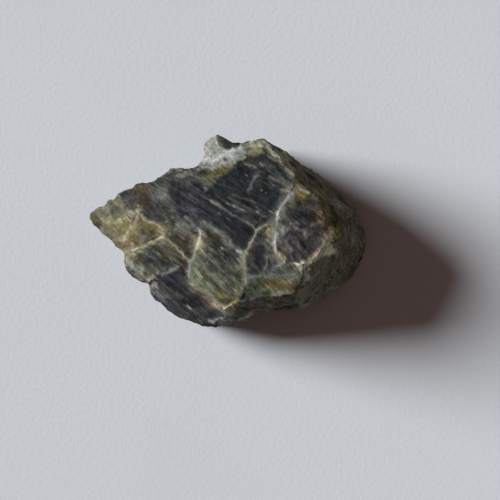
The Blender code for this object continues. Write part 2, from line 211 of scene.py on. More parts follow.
# ---------------------------------------------------------------- planes that break off the right and front sides
# Each plane: three points (u, v, height in mm). The stone lies below all of them.
CUTS = [
    [(272, 147, 8.3), (293, 172, 9.3), (312, 166, 3.0)],    # back right, outside the ridge
    [(318, 200, 9.95), (326, 236, 9.45), (341, 222, 7.6)],   # bevel of the shoulder
    [(332, 210, 9.3), (331, 236, 9.2), (360, 216, 2.7)],    # right, its back part
    [(338, 240, 7.3), (365, 240, 2.5), (347, 277, 2.5)],    # right
    [(322, 250, 9.25), (301, 281, 9.2), (331, 285, 3.0)],    # front right
    [(244, 302, 8.55), (290, 294, 9.15), (256, 320, 4.3)],    # front
]

# ---------------------------------------------------------------- undercut planes of the underside
# Each plane: two points (u, v) on its line in the rest face, and a point (u, v, height in mm).
UNDERCUTS = [
    ((152, 185), (136, 262), (92, 219, 1.7)),      # below the thin tip
    ((128, 226), (232, 179), (160, 179, 1.9)),     # below the back-left edge and the lobe
    ((238, 172), (322, 208), (283, 154, 1.8)),     # below the back rim
    ((345, 200), (352, 262), (365, 240, 0.8)),     # below the right flank
    ((345, 262), (262, 301), (322, 296, 0.8)),     # below the front right flank
    ((262, 303), (188, 300), (228, 326, 1.1)),     # below the front edge
    ((216, 306), (138, 250), (162, 303, 1.3)),     # below the front block
]


class Noise:
    """Seeded smooth 3-D noise, about -1 to 1."""

    def __init__(self, seed):
        rng = np.random.default_rng(seed)
        self.table = np.tile(rng.permutation(256), 3)
        slope = rng.normal(size=(256, 3))
        self.slope = slope / np.linalg.norm(slope, axis=1)[:, None]

    def __call__(self, p):
        cell = np.floor(p).astype(np.int64)
        f = p - cell
        cell &= 255
        s = f * f * f * (f * (f * 6.0 - 15.0) + 10.0)
        out = np.zeros(len(p))
        for dx in (0, 1):
            for dy in (0, 1):
                for dz in (0, 1):
                    h = self.table[
                        self.table[self.table[(cell[:, 0] + dx) & 255] + ((cell[:, 1] + dy) & 255)]
                        + ((cell[:, 2] + dz) & 255)
                    ]
                    w = (
                        (s[:, 0] if dx else 1.0 - s[:, 0])
                        * (s[:, 1] if dy else 1.0 - s[:, 1])
                        * (s[:, 2] if dz else 1.0 - s[:, 2])
                    )
                    out += w * ((f - (dx, dy, dz)) * self.slope[h]).sum(1)
        return out * 1.6


class Facets:
    """Flat chips: every cell of a jittered 3-D grid has a tilt, a level and a soft edge of its own."""

    def __init__(self, seed, soft=0.07):
        rng = np.random.default_rng(seed)
        self.table = np.tile(rng.permutation(256), 3)
        self.place = rng.random((256, 3)) * 0.8 + 0.1
        tilt = rng.normal(size=(256, 3))
        self.tilt = tilt / np.linalg.norm(tilt, axis=1)[:, None]
        self.level = rng.random(256) * 2.0 - 1.0
        self.soft = soft

    def __call__(self, p):
        """Height, level of the cell, and nearness to its edge (0 on it)."""
        cell = np.floor(p).astype(np.int64)
        n = len(p)
        best, second = np.full(n, 1e3), np.full(n, 1e3)
        height, total, level = np.zeros(n), np.zeros(n), np.zeros(n)
        for dx in (-1, 0, 1):
            for dy in (-1, 0, 1):
                for dz in (-1, 0, 1):
                    c = cell + (dx, dy, dz)
                    k = c & 255
                    h = self.table[self.table[self.table[k[:, 0]] + k[:, 1]] + k[:, 2]]
                    away = p - (c + self.place[h])
                    d = np.sqrt((away * away).sum(1))
                    nearest = np.minimum(best, d)
                    old = np.exp((nearest - best) / self.soft)
                    new = np.exp((nearest - d) / self.soft)
                    here = (away * self.tilt[h]).sum(1) + 0.5 * self.level[h]
                    height = height * old + here * new
                    total = total * old + new
                    level = np.where(d < best, self.level[h], level)
                    second = np.where(d < best, best, np.minimum(second, d))
                    best = nearest
        return height / total, level, second - best


BROAD, FINE, WARP = Noise(SEED), Noise(SEED + 1), Noise(SEED + 2)
FACETS = Facets(SEED + 3)


def ease(a, b, x):
    """0 up to a, 1 from b on, and a smooth rise between them."""
    t = np.clip((x - a) / (b - a), 0.0, 1.0)
    return t * t * (3.0 - 2.0 * t)


def inside_distance(p, corners):
    """Signed distance of plan points to a polygon, positive inside (metres)."""
    poly = np.array([plan(u, v) for u, v in corners])
    a, b = poly, np.roll(poly, -1, axis=0)
    best = np.full(len(p), np.inf)
    inside = np.zeros(len(p), bool)
    for (ax, ay), (bx, by) in zip(a, b):
        ex, ey = bx - ax, by - ay
        wx, wy = p[:, 0] - ax, p[:, 1] - ay
        t = np.clip((wx * ex + wy * ey) / (ex * ex + ey * ey), 0.0, 1.0)
        best = np.minimum(best, (wx - t * ex) ** 2 + (wy - t * ey) ** 2)
        crosses = (ay > p[:, 1]) != (by > p[:, 1])
        if abs(ey) > 0.0:
            inside ^= crosses & (p[:, 0] < ax + (p[:, 1] - ay) * ex / ey)
    return np.where(inside, 1.0, -1.0) * np.sqrt(best)


def plane_height(points):
    """Coefficients of z = a x + b y + c through three (u, v, mm) points."""
    rows = np.array([[*plan(u, v), 1.0] for u, v, _ in points])
    return np.linalg.solve(rows, np.array([z * MM for _, _, z in points]))


def upper_height(p):
    """Height of the upper side over plan points: plates joined by short steps, below the cuts."""
    q = np.column_stack([p, np.zeros(len(p))]) / (1.4 * MM)
    bend = np.column_stack([WARP(q), WARP(q + 31.7)]) * 0.13 * MM
    w = p + bend
    edge = np.array([inside_distance(w, corners) for corners, _ in PLATES.values()])
    level = np.array(
        [w @ plane_height(pts)[:2] + plane_height(pts)[2] for _, pts in PLATES.values()]
    )
    weight = np.exp((edge - edge.max(0)) / (PLATE_BLEND * 0.5))
    height = (weight * level).sum(0) / weight.sum(0)
    for points in CUTS:
        a, b, c = plane_height(points)
        height = np.minimum(height, w[:, 0] * a + w[:, 1] * b + c)
    return height


def undercut_planes():
    planes = []
    for (u0, v0), (u1, v1), (u2, v2, z2) in UNDERCUTS:
        planes.append(plane_height([(u0, v0, 0.0), (u1, v1, 0.0), (u2, v2, z2)]))
    return planes


def lower_height(p):
    """Height of the underside over plan points: flat, then rising to the edges."""
    rise = np.zeros(len(p))
    for a, b, c in undercut_planes():
        rise = np.maximum(rise, p[:, 0] * a + p[:, 1] * b + c)
    return rise


def fibre_frame(p, stretch):
    """Points turned so that the first axis runs along the fibres, and shortened along it."""
    c, s = math.cos(FIBRE_ANGLE), math.sin(FIBRE_ANGLE)
    along = p[:, 0] * c + p[:, 1] * s
    across = -p[:, 0] * s + p[:, 1] * c
    return np.column_stack([along / stretch, across, p[:, 2]])


def shape_stone(co):
    """Moves the points of the straight prism onto the stone."""
    top = upper_height(co[:, :2])
    low = np.minimum(lower_height(co[:, :2]), top - 1.1 * MM)
    t = np.clip(co[:, 2] / THICKNESS, 0.0, 1.0)
    z = low - UNDERCUT_DEPTH * (1.0 - t) + t * (top - low)
    # the broken sides lean in towards the rest face, most at the back left
    cx, cy = plan(246, 234)
    x, y = co[:, 0] - cx, co[:, 1] - cy
    turn = np.arctan2(y, x)
    lean = 0.028 + 0.026 * np.cos(turn - math.radians(150.0))
    k = 1.0 - lean * (1.0 - t) ** 1.4
    out = np.column_stack([cx + x * k, cy + y * k, z])
    return out


def roughen(co, no):
    """Unevenness along the surface normals: fibres everywhere, broken facets on the sides."""
    broad = BROAD(co / (3.2 * MM)) + 0.5 * BROAD(co / (1.5 * MM) + 9.1)
    fine = FINE(fibre_frame(co, 4.0) / (0.9 * MM))
    side = 1.0 - 0.72 * np.clip(no[:, 2], 0.0, 1.0)
    step = ROUGHNESS_BROAD * side * broad + ROUGHNESS_FINE * fine
    # facets: below the rim all round, and on the right and front slopes
    depth = upper_height(co[:, :2]) - co[:, 2]
    below = ease(0.3 * MM, 1.8 * MM, depth)
    slope = ease(0.92, 0.65, no[:, 2]) * ease(plan(235, 0)[0], plan(290, 0)[0], co[:, 0])
    where = np.maximum(below, 0.55 * slope) * ease(-0.95, -0.6, no[:, 2])
    bent = fibre_frame(co, 1.5) / FACET_SIZE + 0.15 * BROAD(co / (1.1 * MM) + 3.3)[:, None]
    large = FACETS(bent)[0]
    small = FACETS(bent * 2.3 + 7.7)[0]
    step += FACET_DEPTH * where * (large + 0.4 * small)
    return co + no * step[:, None]


def evaluated(mesh, kind, **settings):
    """The mesh as one modifier leaves it."""
    carrier = bpy.data.objects.new("carrier", mesh)
    bpy.context.scene.collection.objects.link(carrier)
    modifier = carrier.modifiers.new(kind.title(), kind)
    for name, value in settings.items():
        setattr(modifier, name, value)
    bpy.context.view_layer.update()
    depsgraph = bpy.context.evaluated_depsgraph_get()
    result = bpy.data.meshes.new_from_object(carrier.evaluated_get(depsgraph))
    bpy.data.objects.remove(carrier, do_unlink=True)
    return result


def read_points(mesh):
    n = len(mesh.vertices)
    co, no = np.empty(n * 3, np.float32), np.empty(n * 3, np.float32)
    mesh.vertices.foreach_get("co", co)
    mesh.vertices.foreach_get("normal", no)
    return co.reshape(n, 3).astype(float), no.reshape(n, 3).astype(float)


def write_points(mesh, co):
    mesh.vertices.foreach_set("co", co.ravel())
    mesh.update()


def outline_prism():
    flat = bpy.data.curves.new("outline", "CURVE")
    flat.dimensions = "2D"
    flat.fill_mode = "BOTH"
    flat.extrude = THICKNESS / 2.0
    line = flat.splines.new("POLY")
    line.points.add(len(OUTLINE) - 1)
    for point, (u, v) in zip(line.points, OUTLINE):
        x, y = plan(u, v)
        point.co = (x, y, 0.0, 1.0)
    line.use_cyclic_u = True
    carrier = bpy.data.objects.new("outline", flat)
    carrier.location.z = THICKNESS / 2.0
    bpy.context.scene.collection.objects.link(carrier)
    bpy.context.view_layer.update()
    depsgraph = bpy.context.evaluated_depsgraph_get()
    mesh = bpy.data.meshes.new_from_object(carrier.evaluated_get(depsgraph))
    mesh.transform(carrier.matrix_world)
    bpy.data.objects.remove(carrier, do_unlink=True)
    bm = bmesh.new()
    bm.from_mesh(mesh)
    bmesh.ops.remove_doubles(bm, verts=bm.verts, dist=1e-7)
    bmesh.ops.recalc_face_normals(bm, faces=bm.faces)
    bm.to_mesh(mesh)
    bm.free()
    return mesh


# ---------------------------------------------------------------- colours
def tone(r, g, b):
    """A display colour as the surface colour it comes from."""
    c = np.array([r, g, b], float) / 255.0
    lin = np.where(c <= 0.04045, c / 12.92, ((c + 0.055) / 1.055) ** 2.4)
    return lin / 0.74


NIGHT = tone(24, 26, 28)
UMBER = tone(45, 37, 33)
FOREST = tone(38, 54, 30)
INK = tone(37, 39, 42)
BARK = tone(49, 44, 35)
TEAL = tone(38, 48, 49)
GRAPHITE = tone(47, 46, 48)
GARNET = tone(57, 33, 32)
LOAM = tone(62, 55, 41)
SLATE = tone(52, 52, 54)
MUD = tone(63, 62, 55)
PLUM = tone(66, 61, 67)
BROWN = tone(82, 72, 49)
PINE = tone(70, 74, 62)
OLIVE = tone(99, 92, 54)
SAGE = tone(86, 86, 75)
LILAC = tone(98, 96, 100)
DUST = tone(98, 94, 82)
ROSE = tone(105, 85, 76)
OCHRE = tone(120, 106, 67)
LICHEN = tone(106, 108, 98)
MOSS = tone(116, 115, 84)
SAND = tone(124, 117, 97)
REED = tone(122, 123, 109)
TAN = tone(139, 125, 94)
KHAKI = tone(140, 134, 105)
FERN = tone(101, 108, 78)
CELADON = tone(128, 135, 110)
ASH = tone(136, 134, 121)
STRAW = tone(153, 145, 112)
CREAM = tone(172, 161, 121)
HAY = tone(190, 174, 132)
MIST = tone(157, 158, 143)
CHALK = tone(171, 173, 163)
BONE = tone(200, 195, 172)

# Each plate: main colour, second colour, share of pale streaks, height of the fibres (1 = full), depth of colour
# (a brightness factor matched to the lit look: partly the plate's own tone and partly painted light and shade;
# the high values on the shoulder and the flanks, about 1.9 to 2.6, are painted light lifting the shade of slopes
# that face away from the lamp)
PLATE_LOOK = {
    "tip": (MOSS, DUST, 0.25, 0.30, 0.63),
    "slab_left": (MUD, SLATE, 0.55, 0.75, 0.74),
    "slab_back": (SLATE, TEAL, 0.75, 1.0, 0.48),
    "slab_front": (GRAPHITE, SLATE, 0.65, 1.0, 0.43),
    "wedge": (OCHRE, DUST, 0.25, 0.30, 0.61),
    "plate": (PINE, MUD, 0.60, 0.9, 1.00),
    "front_block": (GRAPHITE, MUD, 0.50, 0.7, 0.80),
    "tongue": (FERN, SAGE, 0.60, 0.8, 0.52),
    "saddle": (PINE, MUD, 0.40, 0.5, 0.50),
    "middle": (PINE, MUD, 0.70, 1.0, 0.70),
    "pocket": (MUD, GRAPHITE, 0.35, 0.4, 0.99),
    "shoulder": (SLATE, MUD, 0.35, 0.5, 2.01),
    "shoulder_edge": (LOAM, BARK, 0.30, 0.6, 2.41),
    "front_band": (PINE, PINE, 0.45, 0.6, 0.94),
    "right_flank_back": (LOAM, BARK, 0.30, 0.8, 2.60),
    "right_flank": (MUD, LOAM, 0.35, 0.8, 2.60),
    "front_right_flank": (MUD, LOAM, 0.35, 0.8, 2.60),
    "front_flank": (LOAM, GRAPHITE, 0.35, 0.8, 2.56),
    "back_right_flank": (LOAM, BARK, 0.35, 0.8, 1.92),
    "rim": (MOSS, SAGE, 0.30, 0.4, 1.24),
    "lobe": (MIST, ASH, 0.12, 0.60, 0.49),
    "lobe_cap": (PINE, MUD, 0.35, 0.4, 0.30),
}

# Soft patches, in drawing units: centre u, v, half sizes along and across, turn (degrees), colour, strength
PATCHES = [
    # thin tip
    (93, 219, 5, 6, 0, BROWN, 0.8), (104, 211, 8, 4.5, -30, REED, 0.7),
    (115, 211, 7, 5, 10, PINE, 0.8), (127, 202, 11, 6.5, -25, LILAC, 0.75),
    (107, 222, 6, 4, 20, STRAW, 0.75), (101, 227, 8, 3, 38, DUST, 0.7),
    (121, 220, 10, 5, 5, STRAW, 0.85), (113, 231, 10, 5, 38, TAN, 0.75),
    (127, 231, 6, 7, 20, STRAW, 0.85), (119, 240, 8, 4, 32, SAND, 0.7),
    # wedge
    (130, 244, 12, 4, -15, OCHRE, 0.7), (140, 226, 5, 7, 60, OLIVE, 0.85),
    (151, 229, 9, 4, 28, OCHRE, 0.7), (143, 238, 6, 4, -20, LICHEN, 0.75),
    (156, 233, 6, 4, 0, OCHRE, 0.6), (150, 241, 8, 3, -25, SAGE, 0.5),
    # left of the slab
    (142, 192, 10, 6, -20, BROWN, 0.8), (147, 211, 12, 8, 40, GRAPHITE, 0.85),
    (134, 206, 4, 6, 60, MUD, 0.5), (161, 193, 8, 6, 60, LICHEN, 0.75),
    (166, 199, 6, 4, 30, REED, 0.6), (156, 186, 8, 4, -15, PINE, 0.65),
    (176, 193, 14, 6, 80, INK, 0.85), (163, 214, 10, 6, 30, MUD, 0.6),
    (188, 223, 13, 6, 33, LILAC, 0.75), (175, 231, 11, 4, 20, SAGE, 0.6),
    (197, 232, 6, 5, 50, LICHEN, 0.6), (181, 240, 8, 9, 45, BROWN, 0.65),
    (182, 250, 7, 7, 40, LOAM, 0.6), (170, 233, 5, 4, 0, MOSS, 0.6),
    # slab
    (190, 178, 12, 5, -18, SAGE, 0.6), (206, 171, 5, 3.5, -15, BROWN, 0.75),
    (217, 173, 11, 5, -25, MOSS, 0.9), (229, 167, 8, 4, -35, DUST, 0.65),
    (214, 190, 15, 8, 33, TEAL, 0.65), (238, 177, 15, 10, 33, TEAL, 0.75),
    (263, 168, 8, 5, 10, DUST, 0.65), (270, 190, 12, 8, 20, INK, 0.75),
    (250, 199, 12, 6, 33, GRAPHITE, 0.5), (231, 206, 10, 3.5, 33, DUST, 0.55),
    (247, 210, 11, 3.5, 20, DUST, 0.5), (272, 213, 7, 3, 0, LICHEN, 0.5),
    (236, 227, 17, 8, 35, INK, 0.8), (212, 214, 13, 6, 35, TEAL, 0.65),
    (261, 217, 10, 4, 33, PLUM, 0.6), (243, 161, 10, 5, -25, GRAPHITE, 0.65),
    (249, 156, 12, 4, -25, LOAM, 0.7), (205, 184, 4, 3, 0, LICHEN, 0.5),
    # back rim
    (254, 150, 10, 4, -18, STRAW, 0.85), (262, 145, 6, 4, 30, KHAKI, 0.85),
    (272, 154, 9, 4, 42, MOSS, 0.75), (283, 164, 10, 4, 42, DUST, 0.65),
    (290, 172, 7, 4, 45, SAND, 0.6), (243, 150, 6, 4, -35, ASH, 0.75),
    (236, 157, 9, 4, -38, MIST, 0.75), (250, 146, 6, 2, -10, LICHEN, 0.6),
    # lobe
    (209, 146, 9, 7, 110, MIST, 0.9), (219, 156, 10, 6, -15, CHALK, 0.95),
    (208, 160, 6, 5, 0, CHALK, 0.8), (229, 144, 13, 5, 24, MUD, 0.95),
    (238, 149, 4, 3, 0, REED, 0.5), (203, 163, 5, 4, -30, CHALK, 0.6),
    # left plate
    (131, 257, 9, 4, -20, OLIVE, 0.65), (150, 258, 13, 7, 38, GRAPHITE, 0.8),
    (163, 262, 14, 6, 38, SLATE, 0.65), (182, 265, 7, 9, 40, LOAM, 0.8),
    (173, 250, 9, 5, 42, BROWN, 0.65), (138, 271, 10, 5, 48, LICHEN, 0.65),
    (129, 262, 8, 2.5, 75, KHAKI, 0.7), (152, 275, 8, 5, 30, SAGE, 0.5),
    (172, 271, 7, 3, 10, BROWN, 0.7), (137, 262, 8, 4, 45, BROWN, 0.5),
    # front block
    (172, 284, 14, 8, 35, INK, 0.85), (158, 292, 10, 5, 42, SAGE, 0.6),
    (196, 299, 14, 5, 35, GRAPHITE, 0.8), (207, 302, 12, 4, 38, ROSE, 0.8),
    (216, 307, 6, 4, 30, TAN, 0.6), (190, 314, 20, 5, 25, SLATE, 0.6),
    (214, 319, 12, 5, 5, SLATE, 0.6), (176, 303, 12, 4, 40, PLUM, 0.5),
    (166, 275, 6, 3, 20, INK, 0.7),
    # tongue
    (197, 276, 11, 5, 62, CELADON, 0.9), (208, 288, 13, 4.5, 44, CELADON, 0.7),
    (222, 299, 11, 5, 38, OLIVE, 0.85), (231, 302, 8, 5, 20, BROWN, 0.7),
    (205, 277, 9, 3, 48, BROWN, 0.65), (216, 285, 9, 2.5, 42, LOAM, 0.55), (203, 267, 6, 4, 30, DUST, 0.6),
    # middle
    (214, 236, 11, 6, 42, BARK, 0.9), (222, 250, 10, 6, 25, LOAM, 0.8),
    (234, 259, 9, 6, 30, GRAPHITE, 0.7), (206, 251, 7, 7, 0, DUST, 0.7),
    (221, 268, 11, 5, 40, SAGE, 0.6), (240, 272, 7, 6, 0, MOSS, 0.6),
    (231, 283, 10, 6, 42, DUST, 0.5), (240, 291, 5, 6, 0, MOSS, 0.6),
    (213, 259, 8, 4, 35, PINE, 0.5), (228, 272, 10, 4, 42, GRAPHITE, 0.6),
    # pocket
    (254, 251, 6, 6, 0, GARNET, 0.85), (258, 264, 7, 7, 0, INK, 0.9),
    (268, 245, 9, 5, 80, SAGE, 0.5), (270, 233, 9, 4.5, 90, KHAKI, 0.8),
    (270, 259, 6, 5, 0, DUST, 0.55), (278, 257, 8, 4, 45, KHAKI, 0.7),
    (268, 269, 9, 3, -15, LILAC, 0.55),
    # shoulder
    (303, 215, 16, 8, 20, INK, 0.85), (295, 239, 10, 8, 30, PLUM, 0.55),
    (287, 222, 10, 5, 95, SAGE, 0.6), (302, 195, 7, 5, 12, OLIVE, 0.85),
    (322, 217, 13, 7, 55, BROWN, 0.8), (307, 204, 9, 4, 5, BROWN, 0.5),
    (314, 239, 8, 7, 0, MUD, 0.6), (305, 250, 11, 5, -20, MUD, 0.6),
    (293, 256, 9, 5, 0, SAGE, 0.5), (330, 222, 8, 5, 60, LOAM, 0.7),
    # front band
    (278, 283, 9, 4.5, 0, OLIVE, 0.9), (262, 286, 10, 5, 10, PINE, 0.65),
    (290, 282, 5, 4.5, 0, TAN, 0.75), (267, 295, 7, 3.5, 0, FOREST, 0.6),
    (252, 284, 6, 7, 0, PINE, 0.6), (256, 293, 7, 4, 0, SAGE, 0.55),
    (300, 276, 6, 4, 0, MUD, 0.6), (246, 301, 8, 5, -20, INK, 0.6),
    (236, 311, 9, 5, -20, GRAPHITE, 0.6), (310, 268, 8, 4, -30, LOAM, 0.6),
    # dark places and pale skins that cross the plates
    (262, 195, 13, 9, 30, INK, 0.95), (243, 175, 9, 6, 30, INK, 0.95), (229, 179, 7, 4, 25, INK, 0.9),
    (257, 165, 8, 5, 30, MUD, 0.8), (244, 187, 10, 4, 33, GRAPHITE, 0.8), (222, 195, 10, 4, 33, GRAPHITE, 0.7),
    (247, 204, 6, 3, 33, INK, 0.6), (249, 219, 9, 4, 33, GRAPHITE, 0.8), (217, 224, 7, 4, 30, TEAL, 0.7),
    (173, 190, 7, 5, 75, INK, 0.9), (143, 202, 7, 5, -20, BARK, 0.9), (116, 216, 5, 4, 0, PINE, 0.85),
    (131, 229, 6, 6, 20, STRAW, 0.8), (228, 162, 9, 4, -22, CHALK, 0.9), (215, 166, 9, 3.5, -18, MIST, 0.9),
    (200, 168, 8, 3.5, -18, ASH, 0.85), (241, 156, 6, 3.5, -32, MIST, 0.8), (187, 172, 6, 2.5, -15, SAND, 0.6),
    (183, 229, 9, 6, 28, REED, 0.85), (192, 238, 6, 4, 45, SAND, 0.8), (168, 225, 5, 4, 20, MOSS, 0.6),
    (242, 261, 6, 4, 85, SAND, 0.85), (244, 284, 8, 2.5, 92, SAND, 0.6),
    (167, 264, 9, 6, 38, INK, 0.85), (179, 274, 7, 4, 15, INK, 0.85), (169, 250, 8, 5, 42, LOAM, 0.8),
    (184, 265, 5, 9, 40, BARK, 0.8), (150, 280, 6, 5, 45, KHAKI, 0.95), (154, 289, 6, 4, 60, LILAC, 0.85),
    (128, 263, 8, 4, 75, ASH, 0.9), (140, 277, 7, 3, 42, SAND, 0.8), (165, 298, 6, 3, 40, DUST, 0.6),
    (194, 305, 9, 4, 25, INK, 0.8), (228, 313, 6, 5, 0, LICHEN, 0.85), (224, 322, 8, 3, 5, LILAC, 0.8),
    (243, 314, 7, 4, -20, INK, 0.9), (252, 296, 7, 5, 0, DUST, 0.7), (197, 285, 5, 4, 50, MOSS, 0.5),
    (306, 203, 8, 5, 15, BARK, 0.95), (312, 216, 9, 7, 30, UMBER, 0.95), (300, 213, 7, 6, 0, INK, 0.95),
    (304, 228, 6, 5, 30, GRAPHITE, 0.8), (291, 209, 6, 5, 90, LOAM, 0.7),
    (286, 191, 7, 4, 10, SAND, 0.9), (282, 200, 7, 4, -60, LICHEN, 0.8), (280, 214, 8, 4.5, -80, LICHEN, 0.75),
    (279, 231, 9, 5.5, -88, LICHEN, 0.8), (283, 262, 5, 5, 0, DUST, 0.7),
    (326, 246, 9, 5, -62, SAND, 0.95), (317, 255, 7, 5, -42, TAN, 0.9), (303, 265, 9, 4, -15, KHAKI, 0.6),
    (303, 277, 6, 5, 0, LICHEN, 0.8), (338, 232, 9, 4, 80, OLIVE, 0.5), (344, 248, 8, 4, 85, LOAM, 0.5),
    (266, 148, 6, 3, 35, ASH, 0.8), (275, 155, 8, 3, 42, ASH, 0.7), (337, 203, 7, 5, 50, PLUM, 0.6),
    (314, 198, 7, 5, 30, LOAM, 0.9), (330, 235, 6, 7, 60, KHAKI, 0.85), (329, 251, 6, 6, 0, SAND, 0.8),
    (296, 256, 10, 4.5, -12, GRAPHITE, 0.85), (311, 247, 6, 6, -30, UMBER, 0.8), (303, 239, 4, 8, 15, UMBER, 0.3), (286, 246, 6, 7, 0, DUST, 0.6),
    (134, 254, 8, 3, -15, STRAW, 0.6), (131, 261, 6, 5, 60, LICHEN, 0.6), (164, 257, 11, 6, 40, LOAM, 0.75), (144, 255, 5, 5, 40, SAGE, 0.6), (151, 284, 6, 6, 50, ASH, 0.9), (191, 303, 9, 5, 32, INK, 0.85),
    (218, 322, 9, 4, 5, LILAC, 0.85), (263, 170, 9, 5, 32, INK, 0.85),
    (231, 153, 8, 4, -20, CHALK, 0.85), (224, 170, 8, 4, -22, MOSS, 0.75), (196, 179, 9, 4, -15, SAGE, 0.8),
    (139, 193, 9, 7, -20, BARK, 0.75), (184, 232, 8, 6, 40, REED, 0.7), (190, 211, 12, 5, 33, LILAC, 0.55),
    (216, 243, 8, 5, 35, INK, 0.9), (272, 224, 5, 7, 80, SAND, 0.85), (96, 225, 6, 4, 30, LOAM, 0.85),
    (130, 238, 8, 5, 60, TAN, 0.6), (150, 235, 9, 5, -20, BROWN, 0.65), (270, 282, 7, 4, 0, FOREST, 0.6),
    (284, 290, 8, 3, -5, SAGE, 0.6), (297, 275, 6, 4, 0, LICHEN, 0.7), (198, 286, 6, 4, 50, CELADON, 0.6),
    (262, 269, 8, 4, -10, GRAPHITE, 0.7), (290, 264, 8, 4, 0, MUD, 0.6), (254, 288, 7, 5, 20, FOREST, 0.6),
    (238, 279, 7, 4, 80, PINE, 0.6), (133, 214, 8, 4, 10, REED, 0.7), (150, 231, 8, 4, 28, BROWN, 0.7), (144, 236, 6, 5, 60, LICHEN, 0.7), (131, 266, 7, 4.5, 62, MIST, 0.85),
    (160, 297, 14, 4, 42, LILAC, 0.55), (154, 195, 9, 5, 75, LICHEN, 0.65), (204, 164, 6, 5, -30, CHALK, 0.7),
    (184, 174, 9, 2.5, -15, ASH, 0.8), (326, 210, 8, 5, 70, BROWN, 0.6), (344, 228, 8, 6, 80, BARK, 0.6),
    (273, 152, 6, 4, 42, PINE, 0.6), (222, 235, 7, 3, 30, REED, 0.7), (268, 248, 6, 5, 80, MUD, 0.5),
    (258, 252, 6, 6, 0, INK, 0.7), (226, 304, 7, 5, 30, LOAM, 0.75), (271, 208, 8, 5, -60, INK, 0.7),
    (262, 221, 9, 5, 33, GRAPHITE, 0.75), (292, 270, 9, 4, -10, MUD, 0.7), (203, 177, 9, 4, -20, SAGE, 0.7),
    (175, 189, 12, 4, 88, INK, 0.75), (138, 203, 9, 7, 0, GRAPHITE, 0.55), (217, 280, 8, 4, 42, CELADON, 0.55),
    (316, 258, 9, 4, -40, SAND, 0.6), (282, 257, 5, 5, 0, SAND, 0.6), (250, 289, 6, 8, 0, PINE, 0.8),
    (252, 297, 8, 4, -10, GRAPHITE, 0.7), (273, 279, 9, 4, 0, OLIVE, 0.7), (253, 216, 9, 4, 33, INK, 0.5),
    (251, 199, 9, 4, 33, INK, 0.6), (229, 205, 7, 4, 33, TEAL, 0.6), (249, 166, 8, 5, -30, INK, 0.6),
    (139, 190, 8, 4, -15, BROWN, 0.8), (147, 205, 8, 5, 60, UMBER, 0.7),
    (176, 192, 5, 13, 0, NIGHT, 0.7), (282, 265, 7, 4, 20, DUST, 0.7), (300, 268, 7, 4, -15, SAND, 0.6),
    (287, 281, 8, 3.5, -10, DUST, 0.6), (238, 276, 8, 4, 85, GRAPHITE, 0.6), (208, 178, 8, 3.5, -20, MOSS, 0.6),
    (241, 153, 7, 4, -30, ASH, 0.6), (216, 145, 7, 6, 0, MIST, 0.5), (249, 236, 5, 6, 70, MUD, 0.6),
    (272, 211, 8, 5, -70, NIGHT, 0.6), (197, 224, 6, 3, 50, GRAPHITE, 0.5),
    (125, 221, 8, 3.5, 0, CREAM, 0.4), (136, 216, 7, 5, 30, MIST, 0.8), (119, 233, 5, 4, 0, BROWN, 0.5),
    (144, 231, 5, 4, 0, BROWN, 0.6), (161, 231, 5, 4, 0, CREAM, 0.6), (151, 240, 8, 4, -25, MUD, 0.7),
    (152, 258, 7, 5, 38, INK, 0.6), (160, 265, 8, 5, 38, INK, 0.5), (137, 271, 6, 5, 40, REED, 0.6),
    (163, 272, 7, 3, -25, MUD, 0.6), (152, 289, 4, 6, -40, ASH, 0.6), (192, 288, 4, 6, -30, SAND, 0.5),
    (135, 193, 8, 4, -30, BARK, 0.7), (137, 208, 6, 4, 0, MUD, 0.6), (127, 200, 7, 5, -20, SAGE, 0.6),
    (161, 191, 5, 5, 0, REED, 0.5), (168, 202, 6, 4, 30, MUD, 0.6), (252, 199, 12, 4, 33, NIGHT, 0.6),
    (265, 180, 6, 8, 0, NIGHT, 0.6), (228, 181, 8, 4, 28, NIGHT, 0.6), (208, 197, 10, 5, 33, NIGHT, 0.5),
    (226, 207, 9, 4, 33, NIGHT, 0.5), (248, 232, 5, 8, -30, NIGHT, 0.6), (219, 225, 8, 4, 35, NIGHT, 0.5),
    (262, 222, 10, 4, 33, NIGHT, 0.5), (247, 170, 9, 6, -20, NIGHT, 0.5), (310, 200, 9, 6, 40, NIGHT, 0.6),
    (272, 286, 13, 5, -5, OLIVE, 0.75), (296, 288, 7, 5, 60, LOAM, 0.8), (284, 272, 8, 4, -10, PINE, 0.6),
    (131, 206, 9, 5, -10, MUD, 0.6), (140, 200, 8, 7, 0, BARK, 0.5), (222, 322, 9, 4, 5, ASH, 0.7),
    (240, 154, 8, 5, -30, MIST, 0.7), (227, 162, 8, 5, -25, CHALK, 0.6), (262, 150, 8, 3, -10, KHAKI, 0.6),
    (291, 192, 5, 7, 20, SAND, 0.7), (212, 200, 12, 4, 33, NIGHT, 0.5), (251, 200, 12, 4, 33, NIGHT, 0.6),
    (276, 210, 5, 8, 20, INK, 0.6), (185, 256, 7, 5, 45, BARK, 0.6), (184, 268, 5, 7, 20, BARK, 0.6),
    (330, 236, 6, 6, 0, KHAKI, 0.6), (326, 214, 6, 6, 0, BROWN, 0.6), (305, 240, 6, 6, 0, MUD, 0.6),
    (132, 205, 10, 5, -10, BARK, 0.5), (140, 221, 4, 6, 10, BROWN, 0.5), (125, 231, 4, 6, 30, OCHRE, 0.5), (152, 239, 9, 3.5, -25, LOAM, 0.6),
    (196, 231, 4, 6, 20, MUD, 0.6), (172, 274, 9, 5, 30, INK, 0.6), (186, 268, 5, 8, 15, UMBER, 0.6),
    (147, 275, 5, 5, 40, MUD, 0.6), (193, 304, 9, 5, 30, NIGHT, 0.6), (213, 317, 8, 5, 10, INK, 0.6),
    (227, 304, 6, 6, 30, BARK, 0.7), (237, 280, 6, 8, 15, PINE, 0.7), (251, 290, 6, 6, 0, FOREST, 0.7),
    (279, 288, 9, 5, -5, BROWN, 0.7), (290, 266, 9, 4, -10, MUD, 0.8), (297, 260, 7, 4, -20, GRAPHITE, 0.8),
